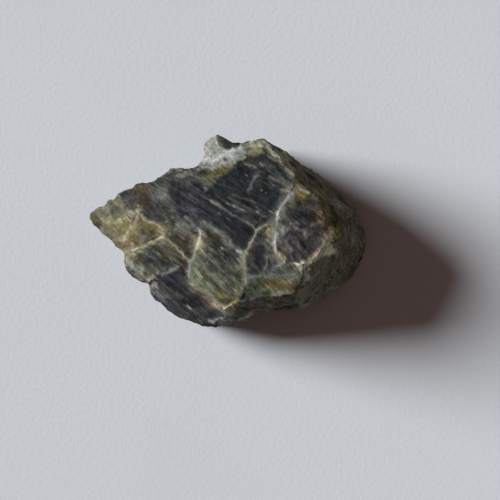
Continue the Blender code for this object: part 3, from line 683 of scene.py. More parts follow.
    # (304, 270) SAND: painted light over the shaded wall at the right end of the front band
    (311, 250, 5, 7, 30, GRAPHITE, 0.8), (304, 270, 5, 8, 0, SAND, 0.9), (305, 279, 5, 5, 0, LICHEN, 0.8),
    (273, 213, 5, 7, 20, NIGHT, 0.6), (248, 236, 5, 7, -20, NIGHT, 0.6), (215, 243, 7, 5, 35, NIGHT, 0.5),
    (228, 259, 6, 6, 30, GRAPHITE, 0.6), (264, 268, 9, 4, -10, GRAPHITE, 0.5), (206, 288, 8, 3, 44, PINE, 0.6),
    (260, 253, 6, 6, 0, NIGHT, 0.5), (284, 198, 3.5, 7, 30, DUST, 0.5), (267, 178, 6, 6, 0, NIGHT, 0.6),
    (256, 161, 8, 5, 30, LOAM, 0.6), (240, 198, 16, 4, 33, NIGHT, 0.5), (214, 196, 14, 4, 33, NIGHT, 0.5),
    (240, 155, 8, 5, -30, MIST, 0.6), (210, 182, 6, 4, -20, MOSS, 0.6),
    (224, 168, 12, 3.5, -25, OCHRE, 0.6), (254, 153, 7, 4, -5, LICHEN, 0.5),
    # (231, 303) BROWN and (230, 303.5) UMBER: the tongue tip's own olive-brown, laid on as painted shade over the
    # wall there that catches the lamp
    (198.5, 244, 5, 6, -30, STRAW, 0.55), (231, 303, 8, 5, 0, BROWN, 0.8), (230, 303.5, 9, 2.4, -32, UMBER, 0.85), (127, 226, 4, 6, 30, OLIVE, 0.5),
    (136, 229, 3, 6, 30, OCHRE, 0.6),
    (121, 219, 9, 4, 20, MOSS, 0.5), (151, 231, 6, 4, 30, OLIVE, 0.6), (132, 237, 4, 5, 0, OLIVE, 0.5),
    # (304, 268) REED: painted light over the same shaded wall at the right end of the front band
    (304, 268, 4, 8, 0, REED, 0.8), (300, 194, 9, 4, 25, OLIVE, 0.7), (139, 206, 7, 4, 20, BROWN, 0.6),
    (238, 278, 4, 6, 20, FOREST, 0.6), (217, 323, 9, 3, 0, MIST, 0.5), (327, 240, 5, 10, 0, TAN, 0.5),
    (271, 167, 7, 4, 20, PINE, 0.6), (221, 187, 9, 4, 30, TEAL, 0.5), (262, 183, 6, 4, 20, FOREST, 0.5),
    (206, 171, 5, 3, -15, BROWN, 0.6), (219, 171, 7, 3.5, -25, OLIVE, 0.5),
    (264, 261, 5, 6, 0, INK, 0.6), (272, 284, 6, 3, 0, PINE, 0.5), (211, 282, 7, 3, 42, PINE, 0.6),
    (184, 303, 7, 3, 38, INK, 0.6), (223, 257, 8, 4, 40, GRAPHITE, 0.7), (215, 240, 7, 5, 40, BARK, 0.9),
]

# Veins, seams and ridges: points in drawing units, half width, colour, strength, height (mm)
# Painted light on the broken flanks in shade: factors on red, green and blue that lift them and take out the warm
# tint of the fill light
FLANK_SHADE_HUE = {
    "right_flank": (1.06, 1.20, 1.22),
    "front_right_flank": (1.03, 1.20, 1.18),
    "right_flank_back": (0.95, 1.04, 1.00),
    "back_right_flank": (1.02, 1.07, 1.00),
    "front_flank": (0.93, 1.00, 0.88),
    "shoulder_edge": (0.95, 1.06, 0.93),
}

VEINS = [
    ([(138.6, 212.4), (136, 222.7), (130.9, 228.8), (127.3, 233.9), (124.8, 238.5), (122.8, 241.5)],
     1.8, HAY, 1.0, 0.10),
    ([(138.6, 214), (142.7, 218.6), (147.8, 222), (156.4, 226.2), (161.5, 227.8), (164, 236.7)],
     1.3, HAY, 0.9, 0.06),
    ([(138.4, 217), (138.6, 226), (140, 234)], 1.0, REED, 0.7, 0.03),
    ([(128, 212), (133, 213), (138.6, 212.6)], 1.6, STRAW, 0.7, 0.04),
    ([(163, 230), (164.5, 234), (163.5, 238)], 3.0, CREAM, 0.9, 0.08),
    ([(125.2, 252.5), (136.9, 249.5), (143.6, 247.4), (150.7, 243.9), (157.3, 240.3), (163, 237.2)],
     1.5, CREAM, 0.95, 0.10),
    ([(133, 250.4), (137.5, 249.3)], 2.0, BONE, 0.9, 0.05),
    ([(124.5, 252.5), (128, 254.5), (126.5, 261)], 2.2, STRAW, 0.8, 0.05),
    ([(164, 236.7), (168.6, 240.3), (175.2, 246.4), (180.3, 252.6), (185.4, 258.7), (189, 262.8)],
     1.2, CREAM, 0.95, 0.05),
    # the olive line below: painted shade over the lit wall at the tongue's tip, in its own olive-brown
    ([(223, 308.5), (230, 304), (237, 298.5)], 1.3, OLIVE, 0.9, 0.0),
    ([(161.6, 275.6), (169.7, 272.1), (176.6, 268.2)], 1.4, REED, 0.8, 0.06),
    ([(112, 240), (116, 238.5), (120, 236)], 1.1, TAN, 0.6, -0.08),
    ([(115, 247), (119, 249.5), (124, 252.5)], 1.0, OCHRE, 0.6, -0.05),
    ([(198, 229), (200.5, 233), (200, 239), (197, 244)], 1.3, CHALK, 0.75, 0.05),
    ([(198.5, 241), (195.5, 246.5), (195.8, 251)], 3.3, CREAM, 0.9, 0.10),
    ([(195.8, 251), (194.5, 256.5), (191.2, 263), (189.2, 268.7), (189.6, 276.7), (193.4, 286)],
     1.6, REED, 0.95, 0.07),
    ([(193.4, 286), (202.4, 291.7), (209.9, 296.3), (214.5, 300.9), (219, 306), (225, 308.5)],
     1.9, STRAW, 0.85, 0.05),
    ([(194, 256), (199, 262), (206, 270), (214, 279.5), (222, 288), (229, 294)],
     1.2, SAND, 0.6, 0.05),
    ([(202.7, 222), (209.3, 225.7), (215.4, 230.8), (221.5, 233.4), (226.6, 238.5), (233.8, 248),
      (241.9, 252.8)], 2.4, REED, 0.75, 0.09),
    ([(216, 230.5), (222, 233), (227, 238), (231, 243)], 1.0, MIST, 0.7, 0.03),
    ([(237, 250.5), (242, 253)], 1.5, CHALK, 0.8, 0.03),
    ([(200, 195), (214.4, 203.3), (223.6, 208.9), (233.8, 215), (239.9, 219.6), (246.5, 222.7),
      (252.7, 226.7), (256.7, 230.8)], 0.7, ASH, 0.75, 0.05),
    ([(211, 201.5), (216, 204.2)], 1.1, BONE, 0.85, 0.03),
    ([(173.5, 178), (188, 187.5), (201, 195.5)], 0.6, DUST, 0.6, 0.04),
    ([(183, 180.5), (199, 190.5), (216, 201)], 0.6, LILAC, 0.65, 0.03),
    ([(170, 186), (184, 195.5), (197, 204)], 0.6, DUST, 0.45, 0.03),
    ([(216, 196), (227, 202.5), (240, 209)], 1.0, LICHEN, 0.5, 0.03),
    ([(228, 197.5), (240, 204.5), (251, 210)], 0.8, LICHEN, 0.5, 0.02),
    ([(231, 194), (243, 198.5), (255, 203)], 0.6, SAND, 0.55, 0.02),
    ([(243, 209), (254, 213), (266, 216)], 0.9, DUST, 0.6, 0.02),
    ([(177, 208), (189, 218), (201, 230)], 0.8, LILAC, 0.6, 0.03),
    ([(198, 209), (212, 218), (226, 227.5)], 0.5, SAGE, 0.55, 0.03),
    ([(205, 221), (216, 229), (228, 241)], 0.9, LICHEN, 0.6, 0.03),
    ([(222, 184), (236, 192), (247, 199)], 0.5, SAGE, 0.5, 0.02),
    ([(262, 181), (273, 187.5), (284, 194)], 0.6, DUST, 0.5, 0.02),
    ([(252, 228), (260, 219), (268, 216)], 0.7, TAN, 0.45, 0.02),
    ([(256.7, 230.8), (254.7, 235.9), (251.1, 242.6)], 1.1, REED, 0.85, 0.06),
    ([(251.1, 242.6), (249.1, 248.7), (245, 254.8), (243.5, 258.9), (245, 266.5), (246.6, 269.4)],
     1.8, KHAKI, 0.85, 0.08),
    ([(246.6, 269.4), (246, 278), (245.1, 285.7), (243.6, 290.3)], 1.4, ASH, 0.8, 0.07),
    ([(270, 176.5), (277.3, 179.8), (285.5, 184.4), (290.6, 189)], 1.7, SAND, 0.75, 0.07),
    ([(289.5, 189), (293, 190.5), (294, 195)], 3.0, STRAW, 0.9, 0.10),
    ([(298, 188.5), (303.5, 190.5), (308, 193)], 1.6, STRAW, 0.75, 0.05),
    ([(291, 193), (285.5, 199), (281.5, 205), (278, 213), (275, 222), (274, 232), (272.5, 244)],
     3.8, LICHEN, 0.6, 0.0),
    ([(291, 195.5), (285.5, 199.7), (282.4, 203.8), (280.4, 208.9), (277.3, 214)],
     2.4, LICHEN, 0.6, 0.0),
    ([(277.3, 214), (275.3, 219.6), (276.8, 225.7), (276.3, 232.3), (273.8, 238.5), (272.2, 245.1)],
     2.1, REED, 0.75, 0.02),
    ([(272.2, 245.1), (275.3, 251.2), (279.4, 258.4), (285, 264)], 1.8, SAND, 0.75, 0.05),
    ([(256.7, 230.8), (262, 227.5), (268, 224.2), (273, 224.5)], 1.6, KHAKI, 0.75, 0.06),
    ([(285, 264), (295.2, 265), (299.8, 266.5), (305.4, 263.5), (311.5, 260.9), (317.7, 256.8)],
     1.7, SAND, 0.55, 0.04),
    ([(317.7, 256.8), (321.2, 252.2), (325.3, 244.1), (327.3, 236.9), (330.9, 232.9)],
     2.4, SAND, 0.50, 0.03),
    ([(329, 234.5), (331.5, 232.2)], 1.7, BONE, 0.85, 0.04),
    ([(290.6, 223.7), (295.7, 227.8), (303.9, 232.3), (307.4, 239.5)], 1.1, REED, 0.7, 0.05),
    ([(266, 257.7), (267, 265.3), (264, 270.4)], 1.0, REED, 0.7, 0.04),
    ([(285, 264), (280, 267), (274.7, 268.9)], 1.8, MIST, 0.8, 0.07),
    ([(250, 279), (258, 277.5), (266, 277.6), (276, 276.4), (288, 276), (294, 278.5)],
     1.7, LICHEN, 0.8, 0.08),
    ([(260, 142.5), (270.2, 153.3), (281.9, 162.4), (292.7, 170.6)], 1.4, SAND, 0.7, 0.06),
    ([(250, 151.5), (256, 150.5), (261, 151)], 1.6, CREAM, 0.85, 0.05),
    ([(256.2, 175.9), (252.1, 181), (250.6, 186.6), (248, 190.7)], 1.0, ASH, 0.75, 0.05),
    ([(246, 163.2), (250, 165), (255.2, 167.8)], 0.9, ASH, 0.75, 0.04),
    ([(276, 172), (281, 177), (287, 184)], 1.2, LICHEN, 0.6, 0.05),
    ([(232, 150), (238, 149.5), (243, 151), (237, 156), (231, 161)], 1.6, CHALK, 0.7, 0.06),
    ([(204, 190), (209, 187.5)], 0.8, REED, 0.5, 0.03),
    ([(146, 241), (152, 237.5), (158, 236)], 0.9, SAND, 0.6, 0.03),
    ([(176, 221), (183, 226), (189, 232)], 0.9, ASH, 0.6, 0.04),
    ([(184, 217), (191, 223), (197, 229)], 0.8, MIST, 0.6, 0.04),
    ([(240, 320), (246, 318), (252, 316)], 1.0, REED, 0.5, 0.03),
]

# Painted glints: small bright specks standing in for light caught on the cleavage faces: u, v, half length, half
# width (drawing units)
PAINTED_GLINTS = [
    (205, 188, 2.0, 0.8), (214, 203, 3.0, 0.7), (228, 204, 2.2, 0.7), (234, 206.5, 2.8, 0.8),
    (242, 210, 2.5, 0.9), (257, 212, 2.2, 0.8), (271, 212, 3.0, 0.8), (261, 190, 1.2, 0.5),
    (266, 193, 0.9, 0.5), (222, 249, 1.9, 0.9), (222, 320, 2.0, 0.8),
    (261, 164, 2.5, 1.0), (273, 185, 2.2, 0.6), (169, 234, 1.6, 0.9), (158, 254, 2.8, 0.6),
    (186, 217, 2.2, 0.7), (195, 231, 2.0, 0.7), (204, 222, 2.0, 0.7), (157, 274, 1.8, 0.7),
    (189, 309, 3.0, 0.8), (215, 306, 2.8, 0.9), (232, 307, 1.5, 0.8), (287, 265, 2.5, 0.8),
    (297, 265, 2.5, 0.8), (246, 175, 2.0, 0.5),
    (219, 214, 2.5, 0.5), (228, 219, 2.5, 0.4), (138, 206, 1.6, 0.8), (113, 223.5, 1.5, 0.8),
]


# ---------------------------------------------------------------- surface detail
GRAIN, STREAK, BLOTCH, WANDER, PIT = (Noise(SEED + k) for k in (21, 22, 23, 24, 25))
VIEW_HEIGHT = 0.454      # the plan drawing is a view from this high above its own centre
DRAWING_CENTRE = (250.0, 250.0)


def drawing_place(co):
    """Where surface points lie on the plan drawing: u, v."""
    cx, cy = plan(*DRAWING_CENTRE)
    near = VIEW_HEIGHT / (VIEW_HEIGHT - co[:, 2])
    x = cx + (co[:, 0] - cx) * near
    y = cy + (co[:, 1] - cy) * near
    return np.column_stack([x / UNIT + PLAN_CENTRE[0], PLAN_CENTRE[1] - y / UNIT])


def fibre_axes(uv):
    """Fibre direction at drawing points: steeper in the front part of the stone."""
    turn = FIBRE_ANGLE - math.radians(8.0) * ease(235.0, 285.0, uv[:, 1])
    return np.cos(turn), np.sin(turn)


def fibre_space(co, uv):
    """Distances along the fibres, across them, and up (mm), about a point in the stone."""
    c, s = fibre_axes(uv)
    px, py = plan(215.0, 255.0)
    x, y = (co[:, 0] - px) / MM, (co[:, 1] - py) / MM
    return np.column_stack([x * c + y * s, -x * s + y * c, co[:, 2] / MM])


def cloud(noise, p, k=0.0):
    """Three octaves of noise."""
    return noise(p + k) + 0.5 * noise(p * 2.1 + k + 4.7) + 0.25 * noise(p * 4.3 + k + 9.2)


def saw(x, sharp=0.22):
    """0 to 1 ramps that fall back steeply: the profile of cleavage steps."""
    f = x - np.floor(x)
    return np.where(f < 1.0 - sharp, f / (1.0 - sharp), (1.0 - f) / sharp)


def cleavage(q):
    """Fine cleavage steps that run along the fibres, on two planes nearly square to each other."""
    wander = np.column_stack([q[:, 0] / 5.0, q[:, 1] / 1.3, q[:, 2] / 1.3])
    bend = 0.30 * WANDER(wander) + 0.10 * WANDER(wander * 2.7 + 5.0)
    a = (q[:, 1] + q[:, 2]) * 0.7071 + bend
    b = (q[:, 1] - q[:, 2]) * 0.7071 + bend * 0.8
    fade1 = ease(-0.25, 0.35, STREAK(np.column_stack([q[:, 0] / 3.0, a / 0.45, b / 0.9])))
    fade2 = ease(-0.20, 0.40, STREAK(np.column_stack([q[:, 0] / 2.2, b / 0.35, a / 0.8]) + 17.0))
    coarse = saw(a / 0.80) * fade1
    fine = saw(b / 0.46 + 0.37) * fade2
    return coarse, fine


CHIPS = Facets(SEED + 31)


def polyline_distance(uv, points):
    best = np.full(len(uv), 1e9)
    for (ax, ay), (bx, by) in zip(points[:-1], points[1:]):
        ex, ey = bx - ax, by - ay
        wx, wy = uv[:, 0] - ax, uv[:, 1] - ay
        t = np.clip((wx * ex + wy * ey) / (ex * ex + ey * ey), 0.0, 1.0)
        best = np.minimum(best, (wx - t * ex) ** 2 + (wy - t * ey) ** 2)
    return np.sqrt(best)


def near_line(uv, points, reach):
    """Indices of the points inside the line's box, to save work."""
    p = np.array(points, float)
    low, high = p.min(0) - reach, p.max(0) + reach
    return np.nonzero(((uv > low) & (uv < high)).all(1))[0]


def warp3(q, size):
    return np.column_stack([WANDER(q / size + k) for k in (1.0, 21.0, 41.0)])


def plate_weights(co):
    """Share of each plate at surface points, with a soft border."""
    q = np.column_stack([co[:, :2], np.zeros(len(co))]) / (1.4 * MM)
    bend = np.column_stack([WARP(q), WARP(q + 31.7)]) * 0.13 * MM
    w = co[:, :2] + bend
    edge = np.array([inside_distance(w, corners) for corners, _ in PLATES.values()])
    weight = np.exp((edge - edge.max(0)) / (0.10 * MM))
    return weight / weight.sum(0)


def vein_wear(uv):
    """How the veins vary along their way: width, presence, and a small sideways stray."""
    def noise(size, k):
        return GRAIN(np.column_stack([uv / size, np.full(len(uv), k)]))

    ragged = np.clip(1.0 + 0.30 * noise(2.1, 0.3) + 0.50 * noise(7.0, 2.3), 0.4, 2.0)
    broken = np.clip(0.92 + 0.50 * noise(6.5, 5.3) + 0.25 * noise(2.4, 8.3), 0.30, 1.1)
    stray = np.column_stack([noise(6.0, 11.3), noise(6.0, 14.3)]) * 1.3
    stray += np.column_stack([noise(2.2, 17.3), noise(2.2, 21.3)]) * 0.45
    return ragged, broken, stray


def thinned(mesh, keep, share):
    """The mesh with fewer faces where keep is low."""
    carrier = bpy.data.objects.new("carrier", mesh)
    bpy.context.scene.collection.objects.link(carrier)
    group = carrier.vertex_groups.new(name="thin")
    level = np.clip(np.round((1.0 - keep) * 8.0), 0, 8).astype(int)
    for k in range(1, 9):
        group.add(np.nonzero(level == k)[0].tolist(), k / 8.0, "REPLACE")
    modifier = carrier.modifiers.new("Decimate", "DECIMATE")
    modifier.ratio = share
    modifier.vertex_group = group.name
    modifier.vertex_group_factor = 1.0
    bpy.context.view_layer.update()
    depsgraph = bpy.context.evaluated_depsgraph_get()
    result = bpy.data.meshes.new_from_object(carrier.evaluated_get(depsgraph))
    bpy.data.objects.remove(carrier, do_unlink=True)
    return result


def fibre_streaks(q, streaky):
    """Single fibres that stand out: how much each point is on a pale one, and on a dark one."""
    rng = np.random.default_rng(SEED + 61)
    low, high = q.min(0), q.max(0)
    pale, dark = np.zeros(len(q)), np.zeros(len(q))
    order = np.argsort(q[:, 1])
    across = q[order, 1]
    sway = 0.05 * WANDER(np.column_stack([q[:, 0] / 1.6, q[:, 1] / 0.8, q[:, 2] / 3.0]) + 77.0)
    for _ in range(STREAKS):
        a0 = rng.uniform(low[0], high[0])
        b0 = rng.uniform(low[1], high[1])
        long_half = 0.55 + 4.8 * rng.random() ** 2.1
        half = 0.042 + 0.045 * rng.random()
        lean = rng.normal() * 0.035
        force = 0.35 + 0.65 * rng.random()
        is_pale = rng.random() < 0.62
        reach = half * 2.0 + 0.12 + abs(lean) * long_half
        k = order[np.searchsorted(across, b0 - reach):np.searchsorted(across, b0 + reach)]
        da = (q[k, 0] - a0) / long_half
        near = np.abs(da) < 1.0
        k, da = k[near], da[near]
        db = np.abs(q[k, 1] - b0 - lean * da * long_half - sway[k]) / (half * (1.0 - 0.7 * da * da))
        w = ease(1.5, 0.4, db) * ease(1.0, 0.55, np.abs(da)) * force
        if is_pale:
            pale[k] = np.maximum(pale[k], w)
        else:
            dark[k] = np.maximum(dark[k], w)
    group = ease(-0.35, 0.45, STREAK(q / np.array([2.6, 1.0, 1.5]) + 52.0))
    gate = np.clip(streaky * 1.35, 0.0, 1.0) * (0.35 + 0.65 * group)
    return pale * gate, dark * gate


def build_stone():
    mesh = evaluated(outline_prism(), "REMESH", mode="VOXEL", voxel_size=CAGE_VOXEL)
    co, _ = read_points(mesh)
    write_points(mesh, shape_stone(co))
    mesh = evaluated(mesh, "REMESH", mode="VOXEL", voxel_size=SKIN_VOXEL)
    co, no = read_points(mesh)
    co = roughen(co, no)
    write_points(mesh, co)
    co, no = read_points(mesh)
    depth = upper_height(co[:, :2]) - co[:, 2]
    keep = 0.58 + 0.17 * ease(-0.9, -0.4, no[:, 2]) + 0.25 * ease(2.2 * MM, 0.8 * MM, depth)
    mesh = evaluated(mesh, "TRIANGULATE")
    whole = len(mesh.polygons)
    mesh = thinned(mesh, keep, min(1.0, FACES / whole))
    print("stone faces", whole, len(mesh.polygons))
    co, no = read_points(mesh)

    uv = drawing_place(co)
    share = plate_weights(co)
    below = upper_height(co[:, :2]) - co[:, 2]            # depth under the upper side
    q = fibre_space(co, uv)
    below = below + 0.7 * MM * cloud(WANDER, q / np.array([2.2, 1.1, 1.1]), 60.0)
    upper = ease(1.5 * MM, 0.5 * MM, below) * ease(-0.35, 0.05, no[:, 2])
    level = ease(0.35, 0.75, no[:, 2])                     # 1 on plates, 0 on walls
    fibre_height = np.array([look[3] for look in PLATE_LOOK.values()]) @ share
    fibre_height = fibre_height * upper + 0.9 * (1.0 - upper)
    streaky = (np.array([look[2] for look in PLATE_LOOK.values()]) @ share) * upper + 0.30 * (1.0 - upper)
    pale, dark = fibre_streaks(q, streaky * level)

    # cleavage steps, splintered chips, grain and pits
    coarse, fine = cleavage(q)
    big = CHIPS(q / np.array([2.6, 0.9, 0.9]) + 0.7 * warp3(q, 1.6))
    mid = CHIPS(q / np.array([1.25, 0.42, 0.42]) + 9.0 + 0.5 * warp3(q, 0.8))
    rough = 1.0 - fibre_height
    side = 1.0 - np.abs(no[:, 2])
    flat = 0.08 + 0.92 * level

    vein = np.zeros(len(co))
    raised = np.zeros(len(co))
    ragged, broken, stray = vein_wear(uv)
    for points, half, _, strength, height in VEINS:
        k = near_line(uv, points, half * 3.0 + 2.5)
        d = polyline_distance(uv[k] + stray[k], points) / (1.3 * half * ragged[k])
        bump = np.exp(-d * d * 1.2)
        raised[k] += 0.55 * height * bump * broken[k] * upper[k]
        vein[k] = np.maximum(vein[k], bump * strength * upper[k])
    flat *= 1.0 - 0.75 * vein
    side = side * (1.0 - 0.75 * vein)                      # walls under a vein skin are smooth
    lift = (0.055 * (coarse - 0.4) + 0.028 * (fine - 0.4)) * fibre_height * flat
    lift += (0.022 + 0.11 * side + 0.03 * rough) * big[0]
    lift += (0.014 + 0.045 * side + 0.02 * rough) * mid[0]
    lift -= 0.05 * ease(0.10, 0.0, big[2]) * (0.3 + 0.7 * side)
    lift += 0.016 * GRAIN(q / np.array([0.9, 0.30, 0.30])) + 0.010 * GRAIN(q / 0.21 + 3.0)
    pits = ease(0.46, 0.62, PIT(q / np.array([0.9, 0.45, 0.45])))
    lift -= 0.07 * pits * (0.35 + 0.65 * side)
    lift += 0.030 * pale - 0.035 * dark
    lift += raised                                         # veins stand a little proud
    co = co + no * (lift * MM)[:, None]

    # the rest face: level where it touches, with shallow broken hollows
    sunk = co[:, 2] < 0.0
    p = np.column_stack([co[:, :2] / MM, np.zeros(len(co))])
    hollow = ease(0.0, 0.5, BROAD(p / 2.6 + 4.0)) * 0.16 + ease(0.1, 0.5, GRAIN(p / 0.7)) * 0.05
    deep = ease(0.0, 0.35 * MM, -co[:, 2])
    co[:, 2] = np.where(sunk, hollow * MM * deep, co[:, 2])

    # the same box as the CAD solid
    low, high = co.min(0), co.max(0)
    scale = [(CAD_HIGH[k] - CAD_LOW[k]) / (high[k] - low[k]) for k in range(3)]
    for k in range(3):
        co[:, k] = CAD_LOW[k] + (co[:, k] - low[k]) * scale[k]
    write_points(mesh, co)
    print("stone fit", [round(s, 4) for s in scale], "faces", len(mesh.polygons))
    paint(mesh, uv, q, share, upper, vein, streaky * flat, pale, dark, coarse, fine, big, mid)
    return mesh


def paint(mesh, uv, q, share, upper, vein, streaky, pale, dark, coarse, fine, big, mid):
    """Surface colour at each vertex, and masks for the finish."""
    n = len(uv)
    looks = list(PLATE_LOOK.values())
    main = np.array([look[0] for look in looks])
    second = np.array([look[1] for look in looks])
    depth = np.array([look[4] for look in looks]) @ share

    # mottling along the fibres
    long = q / np.array([2.6, 0.55, 0.55])
    m1 = ease(-0.45, 0.45, BLOTCH(long) + 0.5 * BLOTCH(long * 2.1 + 8.0))
    colour = (share.T @ main) * (1.0 - m1[:, None]) + (share.T @ second) * m1[:, None]

    # edges of the patches are drawn ragged and pulled out along the fibres
    r1 = BLOTCH(q / np.array([1.5, 0.6, 0.6]) + 40.0)
    r2 = BLOTCH(q / np.array([0.6, 0.26, 0.26]) + 60.0)
    quiet = np.zeros(n)
    calm_skin = np.zeros(n)
    for u0, v0, along, across, turn, tint, strength in PATCHES:
        a = math.radians(turn)
        reach = max(along, across) * 1.7
        k = np.nonzero((np.abs(uv[:, 0] - u0) < reach) & (np.abs(uv[:, 1] - v0) < reach))[0]
        du, dv = uv[k, 0] - u0, uv[k, 1] - v0
        x = (du * math.cos(a) + dv * math.sin(a)) / along
        y = (-du * math.sin(a) + dv * math.cos(a)) / across
        r = np.sqrt(x * x + y * y) + 0.45 * r1[k] + 0.40 * r2[k]
        w = ease(1.30, 0.55, r) * strength * upper[k]
        colour[k] += (tint - colour[k]) * w[:, None]
        gloomy = 1.0 if tint[1] < MUD[1] else 0.0
        quiet[k] += (gloomy - quiet[k]) * w
        calm_skin[k] += ((1.0 if tint[1] > DUST[1] else 0.0) - calm_skin[k]) * w

    # the sides and the underside: dark, with rusty and mossy clouds and thin pale seams
    under = np.tile(MUD, (n, 1))
    for size, k, low, high, tint, strength in (
        ((4.5, 1.6, 1.6), 90.0, -0.35, 0.35, SLATE, 0.9),
        ((3.4, 1.3, 1.3), 70.0, 0.05, 0.6, OLIVE, 0.55),
        ((2.4, 1.1, 0.9), 55.0, 0.10, 0.7, BROWN, 0.65),
        ((3.0, 1.0, 1.0), 25.0, -0.05, 0.5, INK, 0.85),
        ((2.2, 0.8, 0.8), 15.0, 0.35, 0.9, LICHEN, 0.6),
    ):
        w = ease(low, high, cloud(BLOTCH, q / np.array(size), k))[:, None]
        under += (tint - under) * w * strength
    seam = np.abs(cloud(WANDER, q / np.array([5.0, 3.2, 2.6]), 30.0))
    gate = ease(-0.1, 0.4, BLOTCH(q / np.array([3.0, 2.0, 2.0]) + 44.0))
    w = (ease(0.085, 0.02, seam) * gate)[:, None]
    under += (KHAKI - under) * w * 0.6
    colour = under + (colour - under) * upper[:, None]

    # pale and dark fibres, and painted light on the cleavage steps: a painted highlight along each step's crest
    # and painted shade at its foot
    step_highlight_coarse = ease(0.62, 0.95, coarse) * ease(-0.15, 0.45, STREAK(q / np.array([3.0, 0.42, 0.42]) + 2.0))
    step_highlight_fine = ease(0.62, 0.95, fine) * ease(-0.10, 0.50, STREAK(q / np.array([2.2, 0.32, 0.32]) + 9.0))
    steps = np.clip(step_highlight_coarse + 0.8 * step_highlight_fine, 0.0, 1.0) * streaky
    pale_fibre_and_highlight = np.clip(0.55 * steps + 0.9 * pale, 0.0, 1.0) * (1.0 - 0.72 * quiet)
    colour += (colour * 1.9 + tone(74, 74, 70) - colour) * (pale_fibre_and_highlight * 0.75)[:, None]
    # deep: painted shade at the foot of each cleavage step
    deep = ease(0.30, 0.02, coarse) * ease(-0.2, 0.4, STREAK(q / np.array([2.4, 0.3, 0.3]) + 27.0)) * streaky
    colour *= (1.0 - np.clip(0.40 * deep + 0.60 * dark, 0.0, 0.8))[:, None]
    colour *= (1.0 + 0.20 * BLOTCH(q / np.array([0.9, 0.34, 0.34]) + 12.0))[:, None]

    # every chip has a shade of its own
    small = CHIPS(q / np.array([0.62, 0.23, 0.23]) + 5.0 + 0.4 * warp3(q, 0.4))
    calm = 1.0 - 0.5 * streaky
    calm *= 1.0 - 0.5 * vein
    colour *= (1.0 + (0.14 * big[1] + 0.20 * mid[1] + 0.26 * small[1]) * calm)[:, None]
    warm = ease(0.35, 0.95, mid[1] * 0.6 + small[1] * 0.5)[:, None]
    colour += (colour * np.array([1.16, 1.18, 1.02]) + 0.004 - colour) * warm
    crack = ease(0.09, 0.0, mid[2]) * ease(-0.1, 0.4, STREAK(q / 1.1 + 70.0))
    colour *= (1.0 - 0.45 * crack)[:, None]

    # veins: a faint halo and a brighter, broken core
    ragged, broken, stray = vein_wear(uv)
    for points, half, tint, strength, _ in VEINS:
        k = near_line(uv, points, half * 3.5 + 2.5)
        d = polyline_distance(uv[k] + stray[k], points) / (half * ragged[k])
        halo = ease(2.8, 0.5, d) * 0.50 * strength * np.clip(broken[k], 0.0, 0.9) * upper[k]
        core = ease(1.30, 0.10, d) * 0.72 * strength * np.clip(broken[k], 0.0, 1.0) * upper[k]
        pure = 0.72 * tint + 0.28 * tint.mean() * np.array([0.98, 1.0, 0.92])
        shade = pure[None, :] * (1.0 + 0.26 * r2[k] + 0.20 * small[1][k])[:, None]
        colour[k] += (shade * 0.72 - colour[k]) * halo[:, None]
        colour[k] += (shade * 1.05 - colour[k]) * core[:, None]

    # painted glints: bright specks for light caught on the cleavage, longer along the fibres
    c, s = fibre_axes(uv)
    for u0, v0, long_half, half in PAINTED_GLINTS:
        k = np.nonzero((np.abs(uv[:, 0] - u0) < 5) & (np.abs(uv[:, 1] - v0) < 5))[0]
        du, dv = uv[k, 0] - u0, uv[k, 1] - v0
        x = (du * c[k] - dv * s[k]) / long_half
        y = (du * s[k] + dv * c[k]) / half
        w = ease(1.5, 0.5, np.sqrt(x * x + y * y) + 0.5 * r2[k]) * upper[k] * 0.5
        colour[k] += (CHALK - colour[k]) * w[:, None]

    # depth of colour per plate: partly own tone, partly painted light and shade; on the shoulder and the flanks
    # it is painted light lifting their shade
    colour *= (depth * upper + SIDE_DEPTH * (1.0 - upper))[:, None]
    grey = colour @ np.array([0.2126, 0.7152, 0.0722])
    colour = np.maximum(grey[:, None] + 1.13 * (colour - grey[:, None]), 0.002)
    colour *= np.array([1.0, 0.99, 1.115])
    # painted light: flank factors that lift the shaded flanks and cancel the fill light's warm tint
    hue = np.array([FLANK_SHADE_HUE.get(name, (1.0, 1.0, 1.0)) for name in PLATE_LOOK])
    colour *= 1.0 + (share.T @ hue - 1.0) * upper[:, None]
    colour = np.clip(colour, 0.004, 0.85)
    rgba = np.column_stack([colour, np.ones(n)]).astype(np.float32)
    mesh.attributes.new("paint", "FLOAT_COLOR", "POINT").data.foreach_set("color", rgba.ravel())
    mesh.attributes.new("vein", "FLOAT", "POINT").data.foreach_set("value", vein.astype(np.float32))
    along = np.clip(streaky * 1.3, 0.15, 1.0) * (1.0 - 0.75 * vein) * (1.0 - 0.5 * calm_skin)
    mesh.attributes.new("fibrous", "FLOAT", "POINT").data.foreach_set("value", along.astype(np.float32))
    mesh.attributes.new("fibre_place", "FLOAT_VECTOR", "POINT").data.foreach_set(
        "vector", q.astype(np.float32).ravel()
    )


# ---------------------------------------------------------------- materials
def new_material(name):
    mat = bpy.data.materials.new(name)
    mat.use_nodes = True
    nt = mat.node_tree
    return mat, nt, nt.nodes["Principled BSDF"]


def node(nt, kind, **values):
    made = nt.nodes.new(kind)
    for key, value in values.items():
        if key in made.inputs:
            made.inputs[key].default_value = value
        else:
            setattr(made, key, value)
    return made


def ramp(nt, source, stops):
    made = nt.nodes.new("ShaderNodeValToRGB")
    el = made.color_ramp.elements
    while len(el) < len(stops):
        el.new(0.5)
    for e, (pos, value) in zip(el, stops):
        e.position = pos
        e.color = (value, value, value, 1.0)
    nt.links.new(source, made.inputs["Fac"])
    return made.outputs["Color"]


def math_node(nt, operation, a, b):
    made = node(nt, "ShaderNodeMath", operation=operation)
    for socket, value in zip(made.inputs, (a, b)):
        if isinstance(value, (int, float)):
            socket.default_value = value
        else:
            nt.links.new(value, socket)
    return made.outputs[0]


